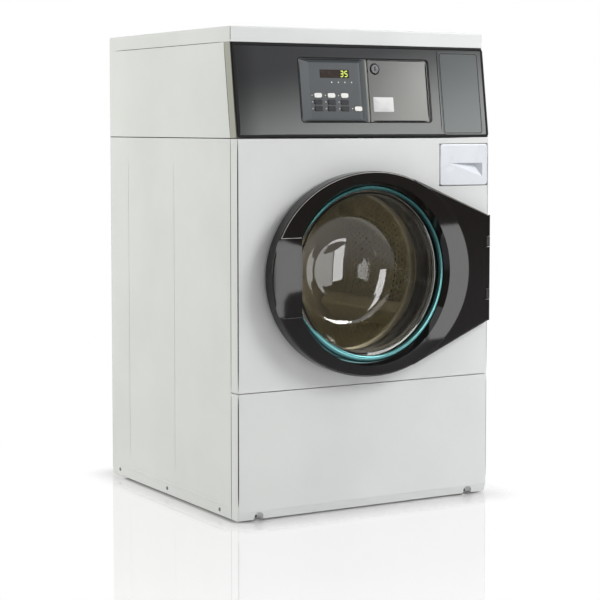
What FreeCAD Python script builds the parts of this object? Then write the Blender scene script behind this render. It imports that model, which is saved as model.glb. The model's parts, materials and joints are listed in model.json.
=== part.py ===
import FreeCAD, Part
import math
import os
import re
import Sketcher

V = FreeCAD.Vector

# Driving dimensions in millimetres (slopes and counts are plain numbers), grouped by piece. A text that
# starts with = is a driven dimension: it takes its place from those it names.
SIZES = {
    # Whole machine and its sheet metal
    "machine_height": 1110,
    "cabinet_width": 683,
    "cabinet_depth": 676,
    "door_proud": 42,
    "fitting_reach": 24,
    "sheet": 1.5,
    "panel_gap": 2,
    "floor_gap": 4,
    "seat_gap": 0.3,
    "corner_wrap": 32,
    "corner_radius": 3,
    "console_seam": 861,
    "lower_seam": 292,
    "flange_width": 18,
    "toe_height": 24,
    "toe_setback": 5,
    "toe_notch_radius": 12,
    "toe_notch_height": 9,
    "cover_skirt": 35,
    "cover_radius": 4,
    # Base frame and levelling feet
    "base_bottom": 16,
    "base_height": 46,
    "base_front": 12,
    "rail_width": 40,
    "front_beam": 150,
    "foot_edge": 53.5,
    "foot_spread": "=cabinet_width / 2 - foot_edge",
    "foot_pad_radius": 22,
    "foot_pad_height": 6,
    "foot_stem_radius": 6,
    "foot_nut_radius": 11,
    "foot_nut_height": 8,
    "foot_collar_height": 10,
    "channel_wall": 3,
    # Rear panel and its cover
    "access_width": 380,
    "access_bottom": 130,
    "access_top": 720,
    "access_lap": 15,
    "louvre_width": 220,
    "louvre_height": 7,
    "louvre_pitch": 22,
    "louvre_bottom": 560,
    # Console
    "console_setback": 30,
    "fascia_thickness": 5,
    "fascia_radius": 4,
    "recess_bottom": 36,
    "recess_top": 184,
    "recess_radius": 8,
    "recess_fit": 0.4,
    "insert_width": 114,
    "insert_edge": 15.5,
    "insert_left": "=cabinet_width / 2 - insert_edge - insert_width",
    "insert_bottom": 7,
    "insert_height": 197,
    "insert_proud": 0.6,
    "recess_web": 32,
    "recess_width": 354,
    "recess_right": "=insert_left - recess_web",
    "recess_left": "=recess_width - recess_right",
    "bezel_width": 182,
    "bezel_right": "=bezel_width - recess_left",
    "bezel_front": 2,
    "bezel_thickness": 10,
    "bezel_dish": 6,
    "bezel_side_slope": 32,
    "bezel_end_slope": 9,
    "bezel_inner_slope": 14,
    "window_inset": 61,
    "window_left": "=recess_left - window_inset",
    "window_width": 78,
    "window_bottom": 139.5,
    "window_height": 19,
    "window_flange": 3,
    "window_fit": 0.2,
    "key_width": 20,
    "key_height": 10.5,
    "key_radius": 4,
    "key_proud": 1.5,
    "key_fit": 0.3,
    "key_flange": 1.2,
    "key_flange_depth": 1.4,
    "key_travel": 0.8,
    "key_inset": 52,
    "first_column": "=recess_left - key_inset",
    "column_pitch": 35.3,
    "top_row": 99,
    "row_pitch": 15.2,
    "board_back": 22,
    "board_thickness": 1.6,
    "board_post_radius": 4,
    "switch_radius": 3,
    "plate_gap": 5.5,
    "plate_left": "=bezel_right + plate_gap",
    "plate_front": 2.4,
    "plate_thickness": 2,
    "plate_barrel": 1.2,
    "plate_radius": 16,
    "access_hatch_inset": 16,
    "lock_inset": 19.2,
    "lock_x": "=plate_left + lock_inset",
    "lock_height": 160.6,
    "lock_radius": 10,
    "lock_fit": 0.05,
    "lock_proud": 1.5,
    "lock_length": 20,
    "lock_keyway": 2.4,
    "cam_length": 15,
    "cam_width": 9,
    "cam_thickness": 2.5,
    # Dispenser drawer
    "drawer_width": 137.5,
    "drawer_edge": 4,
    "drawer_left": "=cabinet_width / 2 - drawer_edge - drawer_width",
    "drawer_bottom": 748,
    "drawer_height": 98,
    "drawer_proud": 2,
    "drawer_front_depth": 24,
    "drawer_gap": 1.2,
    "drawer_radius": 7,
    "drawer_edge_radius": 3,
    "grip_left": 27,
    "grip_right": 122,
    "grip_top": 53,
    "grip_low": 20,
    "grip_depth": 17,
    "grip_taper": 17,
    "housing_width": 129,
    "housing_edge": 5.5,
    "housing_left": "=cabinet_width / 2 - housing_edge - housing_width",
    "housing_bottom": 750,
    "housing_height": 98,
    "housing_depth": 238,
    "housing_wall": 2.5,
    "housing_tab": 9,
    "housing_spigot_first": 20,
    "housing_spigot_pitch": 40,
    "outlet_length": 18,
    "tray_fit": 0.5,
    "tray_wall": 2,
    "tray_length": 222,
    "tray_height": 80,
    "partition_depth": 96,
    # Water inlets and hoses
    "inlet_pitch": 60,
    "inlet_edge": 81.5,
    "inlet_first": "=cabinet_width / 2 - inlet_edge - inlet_pitch",
    "inlet_height": 985,
    "inlet_radius": 13.2,
    "inlet_hole_fit": 0.6,
    "inlet_flange_radius": 20,
    "inlet_flange": 6,
    "inlet_neck": 12.4,
    "thread_root": 1,
    "inlet_bore": 9,
    "inlet_bore_depth": 20,
    "valve_width": 36,
    "valve_length": 50,
    "valve_height": 56,
    "coil_radius": 14,
    "coil_height": 34,
    "spigot_radius": 8,
    "spigot_length": 26,
    "hose_wall": 3,
    "hose_drop": 800,
    "hose_bend_back": 470,
    "hose_bend_front": 400,
    "fill_inset": 33,
    "fill_spigot_x": "=housing_left + fill_inset",
    "fill_spigot_depth": 200,
    "fill_spigot_radius": 14,
    "fill_spigot_top": 726,
    "fill_hose_low": 716,
    "gland_edge": 86.5,
    "gland_x": "=cabinet_width / 2 - gland_edge",
    "gland_height": 1000,
    "gland_radius": 14,
    "gland_thread_radius": 10,
    "gland_bore": 6,
    "gland_reach": 14,
    "gland_thread_depth": 16,
    "gland_nut": 6,
    # Drum axis, door and its ring
    "axis_x": -9,
    "axis_height": 550,
    "door_half_width": 268,
    "door_half_height": 236,
    "door_edge_radius": 3,
    "door_split": 10,
    "door_back": 4,
    "door_back_inset": 6,
    "wing_slope": 0.39,
    "ring_bevel": 8,
    "ring_bevel_depth": 14,
    "ring_radius": 203,
    "ring_width": 7,
    "ring_fit": 0.2,
    "glass_flange": 9,
    "glass_flange_front": 16,
    "glass_wall": 6,
    "bowl_mouth_radius": 190,
    "bowl_knee_radius": 172,
    "bowl_knee_depth": 24,
    "bowl_end_radius": 138,
    "bowl_end_depth": 94,
    "bowl_crown": 12,
    "bowl_round": 26,
    "inner_frame_fit": 3,
    "grip_half_height": 89,
    "grip_lip_x": 189,
    "grip_outer_x": 258,
    "grip_step": 4,
    "grip_lip": 5,
    "finger_depth": 236,
    "finger_margin": 9,
    "hinge_edge": 12.5,
    "hinge_x": "=cabinet_width / 2 - hinge_edge",
    "hinge_forward": 12.5,
    "knuckle_radius": 8,
    "knuckle_gap": 1,
    "knuckle_height": 24,
    "knuckle_spread": 63,
    "hinge_pin_radius": 4,
    "hinge_pin_fit": 0.05,
    "hinge_pin_half": 115,
    "hinge_plate": 3,
    "hinge_plate_width": 40,
    "hinge_plate_half": 96,
    "hinge_web": 5.5,
    "hinge_frame_gap": 24,
    "strike_x": 232,
    "strike_width": 6,
    "strike_height": 24,
    "strike_reach": 24,
    "strike_eye": 6,
    "lock_slot_fit": 3,
    "lock_body_width": 46,
    "lock_body_height": 68,
    "lock_body_depth": 44,
    # Port, gasket and tub
    "port_radius": 194,
    "port_lip": 14,
    "gasket_wall": 3,
    "gasket_lip_radius": 183.2,
    "gasket_lip_front": 4,
    "gasket_bead_end": 17,
    "gasket_fold_radius": 206,
    "gasket_fold_front": 26,
    "gasket_fold_back": 42,
    "gasket_collar_start": 48,
    "gasket_collar_end": 66,
    "tub_face": 70,
    "tub_face_wall": 4,
    "tub_neck_radius": 192,
    "tub_radius": 281,
    "tub_wall": 3,
    "tub_flange": 9,
    "tub_joint": 80,
    "tub_joint_flange": 6,
    "drive_room": 156,
    "tub_back": "=cabinet_depth - drive_room",
    "tub_hub_radius": 60,
    "tub_hub_length": 55,
    "tub_hub_back": "=tub_back + tub_hub_length",
    "sump_depth": 180,
    "sump_radius": 22,
    "sump_bore": 18,
    "sump_low": 232,
    "fill_bore": 11,
    "lug_thickness": 10,
    "weight_inner": 216,
    "weight_outer": 282,
    "weight_front": 42,
    "weight_angle": 110,
    # Drum and drive
    "drum_radius": 262,
    "drum_front": 88,
    "drum_back_gap": 20,
    "drum_back": "=tub_back - drum_back_gap",
    "drum_mouth": 188,
    "drum_lip": 10,
    "baffle_height": 62,
    "baffle_base": 76,
    "baffle_top": 30,
    "baffle_start": 112,
    "baffle_back_gap": 22,
    "baffle_end": "=drum_back - baffle_back_gap",
    "baffle_fit": 0.2,
    "baffle_round": 8,
    "arm_root": 60,
    "arm_tip": 32,
    "arm_reach": 250,
    "arm_thickness": 14,
    "spider_hub": 52,
    "shaft_radius": 20,
    "shaft_fit": 0.05,
    "bearing_radius": 34,
    "bearing_width": 20,
    "bearing_pitch": 29,
    "seal_width": 4,
    "pulley_radius": 152,
    "pulley_rim": 12,
    "pulley_gap": 21,
    "pulley_front": "=tub_hub_back + pulley_gap",
    "pulley_width": 24,
    "pulley_web": 6,
    "pulley_hub": 34,
    "pulley_hub_width": 34,
    "shaft_tail": 7,
    "shaft_end": "=pulley_front + pulley_width / 2 + pulley_hub_width / 2 + shaft_tail",
    "pulley_hole": 27,
    "pulley_hole_circle": 88,
    "belt_gap": 0.3,
    "belt_thickness": 4.5,
    "belt_width": 20,
    "motor_x": 110,
    "motor_height": 150,
    "motor_radius": 72,
    "motor_length": 135,
    "motor_pulley_gap": 11,
    "motor_back": "=pulley_front - motor_pulley_gap",
    "motor_front": "=motor_back - motor_length",
    "motor_bell": 22,
    "motor_bell_radius": 48,
    "motor_lug_width": 50,
    "motor_lug_top": 240,
    "motor_shaft_radius": 9,
    "motor_shaft_inside": 65,
    "motor_shaft_front": "=motor_back - motor_shaft_inside",
    "motor_pulley_radius": 16,
    "motor_flange": 3,
    "motor_flange_width": 1.5,
    # Suspension, pump and drain
    "spring_edge": 23.5,
    "spring_x": "=cabinet_width / 2 - spring_edge",
    "spring_front": 310,
    "spring_rear_inset": 50,
    "spring_rear": "=tub_back - spring_rear_inset",
    "spring_low": 600,
    "spring_high": 820,
    "spring_hook": 42,
    "spring_radius": 15,
    "spring_wire": 4,
    "spring_overhang": 12,
    "hanger_width": 30,
    "hanger_thickness": 4,
    "damper_spread": 150,
    "rear_beam_inset": 120,
    "rear_beam": "=tub_back - rear_beam_inset",
    "damper_top": 290,
    "damper_radius": 18,
    "damper_body": 125,
    "damper_rod": 8,
    "lug_width": 30,
    "pump_radius": 48,
    "pump_height": 52,
    "pump_inlet": 22,
    "pump_outlet": 30,
    "sump_hose_top": 258,
    "drain_height": 90,
    "drain_radius": 19,
    "drain_wall": 3,
    "drain_outlet_radius": 18.4,
}
KEY_GRID = [(0, 0), (1, 0), (2, 0), (0, 1), (1, 1), (2, 1), (0, 2), (1, 2), (2, 2), (3, 2)]

doc = FreeCAD.newDocument("washing_machine")
sheet = doc.addObject("Spreadsheet::Sheet", "Sizes")
for row, (word, value) in enumerate(SIZES.items(), start=1):
    sheet.set(f"A{row}", word)
    sheet.set(f"B{row}", str(value))
    sheet.setAlias(f"B{row}", word)
doc.recompute()

# Lines and planes that many pieces share, as formulas of the driving dimensions.
FRONT_PLANE = "(door_proud - cabinet_depth - fitting_reach) / 2"
SIDE = "cabinet_width / 2"
INSIDE = "(cabinet_width / 2 - sheet)"
INNER_BACK = "(cabinet_depth - sheet)"
COVER_LOW = "(machine_height - cover_skirt)"
BASE_TOP = "(base_bottom + base_height)"
CONSOLE_RISE = "(machine_height - cover_skirt - console_seam)"
CONSOLE_LEAN = f"(console_setback / {CONSOLE_RISE})"
CONSOLE_LENGTH = f"sqrt({CONSOLE_RISE} ^ 2 + console_setback ^ 2)"
BEZEL_FLOOR = "(bezel_front + bezel_dish)"
BEZEL_BACK = "(bezel_front + bezel_thickness)"
TUB_OUTER = "(tub_radius + tub_wall)"


def formula(text):
    """Turns each driving dimension's name in a formula into a reference to its cell."""
    return re.sub(r"[a-z][a-z_]*", lambda w: "Sizes." + w[0] if w[0] in SIZES else w[0], text)


def bind(thing, **formulas):
    for prop, text in formulas.items():
        thing.setExpression(prop.replace("__", "."), formula(text))
    return thing


def span(side, inner, outer):
    """The stretch from inner to outer on the right side (1), or its mirror image on the left (-1)."""
    return (inner, outer) if side > 0 else (f"-({outer})", f"-({inner})")


def block(name, x, y, z):
    """A box given by its two ends along each axis."""
    box = doc.addObject("Part::Box", name)
    bind(box, Length=f"({x[1]}) - ({x[0]})", Width=f"({y[1]}) - ({y[0]})", Height=f"({z[1]}) - ({z[0]})")
    return bind(box, Placement__Base__x=x[0], Placement__Base__y=y[0], Placement__Base__z=z[0])


TURNS = {
    "x": FreeCAD.Rotation(V(0, 1, 0), 90),
    "y": FreeCAD.Rotation(V(1, 0, 0), -90),
    "z": FreeCAD.Rotation(),
}


def along(thing, axis, centre, start):
    """Lays a primitive that stands on its base along an axis, from start, about a centre line."""
    thing.Placement = FreeCAD.Placement(V(), TURNS[axis])
    place = dict(zip([a for a in "xyz" if a != axis], centre))
    place[axis] = start
    return bind(thing, **{f"Placement__Base__{a}": place[a] for a in "xyz"})


def rod(name, axis, centre, radius, ends):
    cylinder = doc.addObject("Part::Cylinder", name)
    bind(cylinder, Radius=radius, Height=f"({ends[1]}) - ({ends[0]})")
    return along(cylinder, axis, centre, ends[0])


def hexagon(name, centre, radius, ends):
    prism = doc.addObject("Part::Prism", name)
    bind(prism, Circumradius=radius, Height=f"({ends[1]}) - ({ends[0]})")
    return along(prism, "z", centre, ends[0])


def joined(name, *pieces):
    fusion = doc.addObject("Part::MultiFuse", name)
    fusion.Shapes = list(pieces)
    fusion.Refine = True
    return fusion


def group(name, *pieces):
    compound = doc.addObject("Part::Compound", name)
    compound.Links = list(pieces)
    return compound


def carved(name, base, *tools):
    cut = doc.addObject("Part::Cut", name)
    cut.Base = base
    cut.Tool = tools[0] if len(tools) == 1 else group(name + "_tools", *tools)
    cut.Refine = True
    return cut


def new_body(name):
    return doc.addObject("PartDesign::Body", name)


def origin_part(body, role):
    return next(item for item in body.Origin.OriginFeatures if item.Role == role)


def rectangle(x, y):
    return [(x[0], y[0]), (x[1], y[0]), (x[1], y[1]), (x[0], y[1])]


def sketch(body, role, *loops, offset=None):
    """A sketch of closed loops: a list of corners is a polygon, a triple is a circle (x, y, radius)."""
    drawing = body.newObject("Sketcher::SketchObject", body.Name + "_sketch")
    drawing.AttachmentSupport = [(origin_part(body, role), "")]
    drawing.MapMode = "FlatFace"
    if offset is not None:
        drawing.setExpression("AttachmentOffset.Base.z", formula(offset))

    def fix(kind, geometry, point, text, guess):
        index = drawing.addConstraint(Sketcher.Constraint(kind, -1, 1, geometry, point, guess))
        drawing.setExpression(f"Constraints[{index}]", formula(text))

    for loop in loops:
        if isinstance(loop, tuple):
            circle = drawing.addGeometry(Part.Circle(V(1, 1, 0), V(0, 0, 1), 1))
            fix("DistanceX", circle, 3, loop[0], 1)
            fix("DistanceY", circle, 3, loop[1], 1)
            radius = drawing.addConstraint(Sketcher.Constraint("Radius", circle, 1))
            drawing.setExpression(f"Constraints[{radius}]", formula(loop[2]))
            continue
        count = len(loop)
        turn = 2 * math.pi / count
        guesses = [V(100 * math.cos(turn * i + 0.1), 100 * math.sin(turn * i + 0.1), 0) for i in range(count)]
        sides = [
            drawing.addGeometry(Part.LineSegment(guesses[i], guesses[(i + 1) % count])) for i in range(count)
        ]
        for i in range(count):
            drawing.addConstraint(Sketcher.Constraint("Coincident", sides[i], 2, sides[(i + 1) % count], 1))
            fix("DistanceX", sides[i], 1, loop[i][0], guesses[i].x)
            fix("DistanceY", sides[i], 1, loop[i][1], guesses[i].y)
    return drawing


def feature(body, kind, profile, middle=False, backwards=False, **formulas):
    """Adds a pad, pocket or revolution of a sketch to a body."""
    step = body.newObject("PartDesign::" + kind, body.Name + "_" + kind.lower())
    step.Profile = profile
    if kind == "Revolution":
        step.ReferenceAxis = (origin_part(body, "Y_Axis"), [""])
        step.Angle = 360
    elif middle:
        step.Midplane = True
    step.Reversed = backwards
    return bind(step, **formulas)


def rounded(body, radius, chosen):
    """Rounds the edges of a body that a test chooses."""
    doc.recompute()
    names = [f"Edge{i}" for i, edge in enumerate(body.Shape.Edges, start=1) if chosen(edge.BoundBox)]
    last_step = body.Tip
    fillet = body.newObject("PartDesign::Fillet", body.Name + "_fillet")
    fillet.Base = (last_step, names)
    return bind(fillet, Radius=radius)


def runs_along(box, axis):
    lengths = {"x": box.XLength, "y": box.YLength, "z": box.ZLength}
    return all(length < 0.001 for name, length in lengths.items() if name != axis)


def plate(name, role, loops, thickness, backwards=False, offset=None):
    body = new_body(name)
    feature(body, "Pad", sketch(body, role, *loops, offset=offset), backwards=backwards, Length=thickness)
    return body


def turned(name, corners):
    """A body of revolution about the Y axis from corners (radius, depth)."""
    body = new_body(name)
    feature(body, "Revolution", sketch(body, "XY_Plane", corners))
    return body


def pan(name, outer, inner):
    """A folded sheet pan: an outline in the YZ plane padded about the middle, rounded and hollowed."""
    body = new_body(name)
    feature(body, "Pad", sketch(body, "YZ_Plane", outer), middle=True, Length="cabinet_width")
    front_half = sheet.corner_wrap / 2
    rounded(
        body, "corner_radius",
        lambda box: box.XLength < 0.001 and box.ZLength > box.YLength and box.YMin < front_half,
    )
    feature(
        body, "Pocket", sketch(body, "YZ_Plane", inner), middle=True, Length="cabinet_width - 2 * sheet"
    )
    return body


nodes = []


def settle(label, piece, x="0", z="0", leaning=False):
    """Names a finished piece and sets it in the machine, its depth counted from the front plane."""
    piece.Label = label
    if leaning:
        piece.Placement = FreeCAD.Placement(V(), FreeCAD.Rotation(V(-1, 0, 0), 1))
        bind(piece, Placement__Rotation__Angle=f"atan({CONSOLE_LEAN})")
    bind(piece, Placement__Base__x=x, Placement__Base__y=FRONT_PLANE, Placement__Base__z=z)
    nodes.append(piece)


def settle_on_axis(label, piece):
    settle(label, piece, x="axis_x", z="axis_height")


def settle_in_console(label, piece):
    settle(label, piece, z="console_seam", leaning=True)


def shaped(name, shape):
    piece = doc.addObject("Part::Feature", name)
    piece.Shape = shape
    return piece


# Base frame: a pressed channel frame, open below, with two cross beams and a hole for each foot.
window_x = (f"-({INSIDE} - rail_width)", f"{INSIDE} - rail_width")
window_starts = ["base_front + rail_width", "front_beam + rail_width", "rear_beam + rail_width"]
window_ends = ["front_beam", "rear_beam", f"{INNER_BACK} - rail_width"]
hollow_x = (f"{window_x[0]} - channel_wall", f"{window_x[1]} + channel_wall")
windows = [rectangle(window_x, ends) for ends in zip(window_starts, window_ends)]
webs = [
    rectangle(hollow_x, (f"{start} - channel_wall", f"{end} + channel_wall"))
    for start, end in zip(window_starts, window_ends)
]
base_edge = rectangle((f"-{INSIDE}", INSIDE), ("base_front", INNER_BACK))
base_hollow = rectangle(
    (f"-({INSIDE} - channel_wall)", f"{INSIDE} - channel_wall"),
    ("base_front + channel_wall", f"{INNER_BACK} - channel_wall"),
)
foot_depths = ["base_front + rail_width / 2", f"{INNER_BACK} - rail_width / 2"]
foot_places = [(x, y) for x in ("-foot_spread", "foot_spread") for y in foot_depths]
foot_holes = [(x, y, "foot_stem_radius + seat_gap") for x, y in foot_places]
base = new_body("base_frame")
feature(base, "Pad", sketch(base, "XY_Plane", base_edge, *windows), Length="base_height")
feature(
    base, "Pocket", sketch(base, "XY_Plane", base_hollow, *webs), backwards=True,
    Length="base_height - channel_wall",
)
feature(base, "Pocket", sketch(base, "XY_Plane", *foot_holes), backwards=True, Length="base_height")
settle("base_frame", base, z="base_bottom")

# Levelling feet: four pads with a hexagon and a threaded stem, each locked by a nut under the frame.
NUT_TOP = f"{BASE_TOP} - channel_wall"
feet = []
for i, (x, y) in enumerate(foot_places):
    pad = rod(f"foot_pad_{i}", "z", (x, y), "foot_pad_radius", ("0", "foot_pad_height"))
    collar_ends = ("foot_pad_height", "foot_pad_height + foot_collar_height")
    collar = hexagon(f"foot_collar_{i}", (x, y), "foot_nut_radius", collar_ends)
    stem_ends = ("foot_pad_height", f"{BASE_TOP} + foot_pad_height")
    stem = rod(f"foot_stem_{i}", "z", (x, y), "foot_stem_radius", stem_ends)
    feet.append(joined(f"foot_{i}", pad, collar, stem))
    nut = hexagon(f"foot_nut_{i}", (x, y), "foot_nut_radius", (f"{NUT_TOP} - foot_nut_height", NUT_TOP))
    bore = rod(f"foot_bore_{i}", "z", (x, y), "foot_stem_radius", (f"{NUT_TOP} - foot_nut_height", NUT_TOP))
    feet.append(carved(f"foot_locknut_{i}", nut, bore))
settle("levelling_feet", group("levelling_feet", *feet))

# Side panels: a sheet with a rear flange, a tongue inside the front pans' wraps and two spring hangers.
PANEL_FRONT = "(corner_wrap + panel_gap)"
FLANGE_TIP = "(cabinet_width / 2 - flange_width)"
TONGUE_FRONT = "(corner_wrap - flange_width)"
spring_depths = ["spring_front", "spring_rear"]
for word, side in (("left", -1), ("right", 1)):
    fold = [
        (SIDE, PANEL_FRONT), (SIDE, INNER_BACK), (FLANGE_TIP, INNER_BACK),
        (FLANGE_TIP, f"{INNER_BACK} - sheet"), (INSIDE, f"{INNER_BACK} - sheet"),
        (INSIDE, f"{PANEL_FRONT} + sheet"),
        (f"{INSIDE} - sheet", f"{PANEL_FRONT} + sheet"), (f"{INSIDE} - sheet", TONGUE_FRONT),
        (INSIDE, TONGUE_FRONT), (INSIDE, PANEL_FRONT),
    ]
    notch_x = span(side, f"{FLANGE_TIP} - sheet", INSIDE)
    tongue_room = (f"{TONGUE_FRONT} - sheet", f"{PANEL_FRONT} - seat_gap")
    notches = [
        rectangle(notch_x, (f"{TONGUE_FRONT} - sheet", f"{PANEL_FRONT} + 2 * sheet")),
        rectangle(notch_x, (f"{INNER_BACK} - 2 * sheet", f"{INNER_BACK} + sheet")),
    ]
    folded = new_body(f"{word}_side_fold")
    feature(
        folded, "Pad", sketch(folded, "XY_Plane", [(f"{side} * ({x})", y) for x, y in fold]),
        Length="console_seam - panel_gap / 2 - floor_gap",
    )
    feature(
        folded, "Pocket", sketch(folded, "XY_Plane", *notches), backwards=True,
        Length=f"{BASE_TOP} - floor_gap + seat_gap",
    )
    for seam in ("lower_seam", "console_seam"):
        feature(
            folded, "Pocket",
            sketch(folded, "XY_Plane", rectangle(notch_x, tongue_room), offset=f"{seam} - floor_gap"),
            middle=True, Length="2 * panel_gap + 2 * sheet",
        )
    bind(folded, Placement__Base__z="floor_gap")
    hangers = [
        block(
            f"{word}_hanger_{i}", span(side, "spring_x - hanger_width / 2", INSIDE),
            (f"{depth} - hanger_width / 2", f"{depth} + hanger_width / 2"),
            ("spring_high", "spring_high + hanger_thickness"),
        )
        for i, depth in enumerate(spring_depths)
    ]
    settle(f"{word}_side_panel", joined(f"{word}_side_panel", folded, *hangers))

# Upper side panels: sheets beside the console, their front edges leaning back with it.
for word, side in (("left", -1), ("right", 1)):
    sheet_outline = [
        (PANEL_FRONT, "console_seam + panel_gap / 2"), (INNER_BACK, "console_seam + panel_gap / 2"),
        (INNER_BACK, COVER_LOW), (f"{PANEL_FRONT} + console_setback", COVER_LOW),
    ]
    start = INSIDE if side > 0 else f"-{SIDE}"
    upper = plate(f"upper_{word}_panel", "YZ_Plane", [sheet_outline], "sheet", offset=start)
    settle(f"upper_{word}_panel", upper)

# Rear panel: one sheet with the drive opening, two water inlets, the drain and the cable entry.
INLET_SECOND = "inlet_first + inlet_pitch"
rear_edge = rectangle((f"-{SIDE}", SIDE), ("base_bottom", COVER_LOW))
access = rectangle(("-access_width / 2", "access_width / 2"), ("access_bottom", "access_top"))
inlet_places = ["inlet_first", INLET_SECOND]
rear_holes = [(x, "inlet_height", "inlet_radius + inlet_hole_fit") for x in inlet_places]
rear_holes += [
    ("axis_x", "drain_height", "drain_radius + seat_gap"),
    ("-gland_x", "gland_height", "gland_thread_radius + seat_gap"),
]
rear = plate("rear_panel", "XZ_Plane", [rear_edge, access, *rear_holes], "sheet", offset="-cabinet_depth")
settle("rear_panel", rear)

# Rear access cover: a plate lapped over the drive opening, with a stack of ventilation slots.
lap_edge = rectangle(
    ("-access_width / 2 - access_lap", "access_width / 2 + access_lap"),
    ("access_bottom - access_lap", "access_top + access_lap"),
)
slots = [
    rectangle(
        ("-louvre_width / 2", "louvre_width / 2"),
        (f"louvre_bottom + {i} * louvre_pitch", f"louvre_bottom + {i} * louvre_pitch + louvre_height"),
    )
    for i in range(6)
]
rear_cover = plate(
    "rear_access_cover", "XZ_Plane", [lap_edge, *slots], "sheet", backwards=True, offset="-cabinet_depth"
)
settle("rear_access_cover", rear_cover)

# Front panel: a folded pan with the round port, its rolled lip, the drawer's cut-out and the strike's slot.
PANEL_LOW = "(lower_seam + panel_gap / 2)"
PANEL_HIGH = "(console_seam - panel_gap / 2)"
STRIKE = "(axis_x - strike_x)"
front = pan(
    "front_panel",
    rectangle(("0", "corner_wrap"), (PANEL_LOW, PANEL_HIGH)),
    rectangle(("sheet", "corner_wrap + sheet"), (f"{PANEL_LOW} + sheet", f"{PANEL_HIGH} - sheet")),
)
drawer_cut = rectangle(
    ("drawer_left - drawer_gap", "drawer_left + drawer_width + drawer_gap"),
    ("drawer_bottom - drawer_gap", "drawer_bottom + drawer_height + drawer_gap"),
)
strike_slot = rectangle(
    (f"{STRIKE} - strike_width / 2 - lock_slot_fit", f"{STRIKE} + strike_width / 2 + lock_slot_fit"),
    ("axis_height - strike_height / 2 - lock_slot_fit", "axis_height + strike_height / 2 + lock_slot_fit"),
)
port = ("axis_x", "axis_height", "port_radius")
port_outside = ("axis_x", "axis_height", "port_radius + sheet")
feature(front, "Pocket", sketch(front, "XZ_Plane", port, drawer_cut, strike_slot), Length="2 * sheet")
feature(front, "Pad", sketch(front, "XZ_Plane", port, port_outside), backwards=True, Length="port_lip")
settle("front_panel", front)

# Lower front panel: a pan whose toe leans back, with an arched notch in front of each front foot.
LOWER_HIGH = "(lower_seam - panel_gap / 2)"
lower = pan(
    "lower_front_panel",
    [
        ("0", "toe_height"), ("toe_setback", "floor_gap"), ("corner_wrap", "floor_gap"),
        ("corner_wrap", LOWER_HIGH), ("0", LOWER_HIGH),
    ],
    [
        ("sheet", "toe_height"), ("toe_setback + sheet", "floor_gap + sheet"),
        ("corner_wrap + sheet", "floor_gap + sheet"), ("corner_wrap + sheet", f"{LOWER_HIGH} - sheet"),
        ("sheet", f"{LOWER_HIGH} - sheet"),
    ],
)
toe_notches = [(x, "toe_notch_height", "toe_notch_radius") for x in ("-foot_spread", "foot_spread")]
feature(lower, "Pocket", sketch(lower, "XZ_Plane", *toe_notches), Length="corner_wrap")
pad_room = "(foot_pad_radius + panel_gap)"
foot_cuts = [
    rectangle(
        (f"{side} * foot_spread - {pad_room}", f"{side} * foot_spread + {pad_room}"),
        ("toe_setback + panel_gap", "corner_wrap + sheet"),
    )
    for side in (-1, 1)
]
feature(
    lower, "Pocket", sketch(lower, "XY_Plane", *foot_cuts), backwards=True, Length="floor_gap + 2 * sheet"
)
settle("lower_front_panel", lower)

# Top cover: a lid with a folded skirt that sits on the upper panels, its top edges rounded.
cover = new_body("top_cover")
cover_depth = ("console_setback", "cabinet_depth")
feature(
    cover, "Pad", sketch(cover, "YZ_Plane", rectangle(cover_depth, (COVER_LOW, "machine_height"))),
    middle=True, Length="cabinet_width",
)
lid_height = sheet.machine_height
rounded(cover, "cover_radius", lambda box: box.ZMin > lid_height - 1)
cover_hollow = rectangle(
    ("console_setback + sheet", f"{INNER_BACK}"), (f"{COVER_LOW} - sheet", "machine_height - cover_radius")
)
feature(
    cover, "Pocket", sketch(cover, "YZ_Plane", cover_hollow), middle=True, Length="cabinet_width - 2 * sheet"
)
settle("top_cover", cover)

# Console panel: a leaning pan behind the fascia, open behind the keypad and behind the service plate.
LOW_BACK = f"(panel_gap / 2 + corner_wrap * {CONSOLE_LEAN})"
LOW_FRONT = f"(panel_gap / 2 + fascia_thickness * {CONSOLE_LEAN})"
HIGH_BACK = f"({CONSOLE_LENGTH} - seat_gap + corner_wrap * {CONSOLE_LEAN})"
HIGH_FRONT = f"({CONSOLE_LENGTH} - seat_gap + fascia_thickness * {CONSOLE_LEAN})"
console = pan(
    "console_panel",
    [
        ("fascia_thickness", LOW_FRONT), ("corner_wrap", LOW_BACK),
        ("corner_wrap", HIGH_BACK), ("fascia_thickness", HIGH_FRONT),
    ],
    [
        ("fascia_thickness + sheet", f"{LOW_FRONT} + sheet"), ("corner_wrap + sheet", f"{LOW_BACK} + sheet"),
        ("corner_wrap + sheet", f"{HIGH_BACK} - sheet"),
        ("fascia_thickness + sheet", f"{HIGH_FRONT} - sheet"),
    ],
)
recess_u = ("recess_bottom", "recess_top")
bezel_hole = rectangle(("-recess_left", "bezel_right"), recess_u)
hatch = rectangle(
    ("plate_left", "recess_right - access_hatch_inset"),
    ("recess_bottom + access_hatch_inset", "recess_top - access_hatch_inset / 4"),
)
feature(
    console, "Pocket", sketch(console, "XZ_Plane", bezel_hole, hatch), Length="fascia_thickness + 2 * sheet"
)
settle_in_console("console_panel", console)

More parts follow.
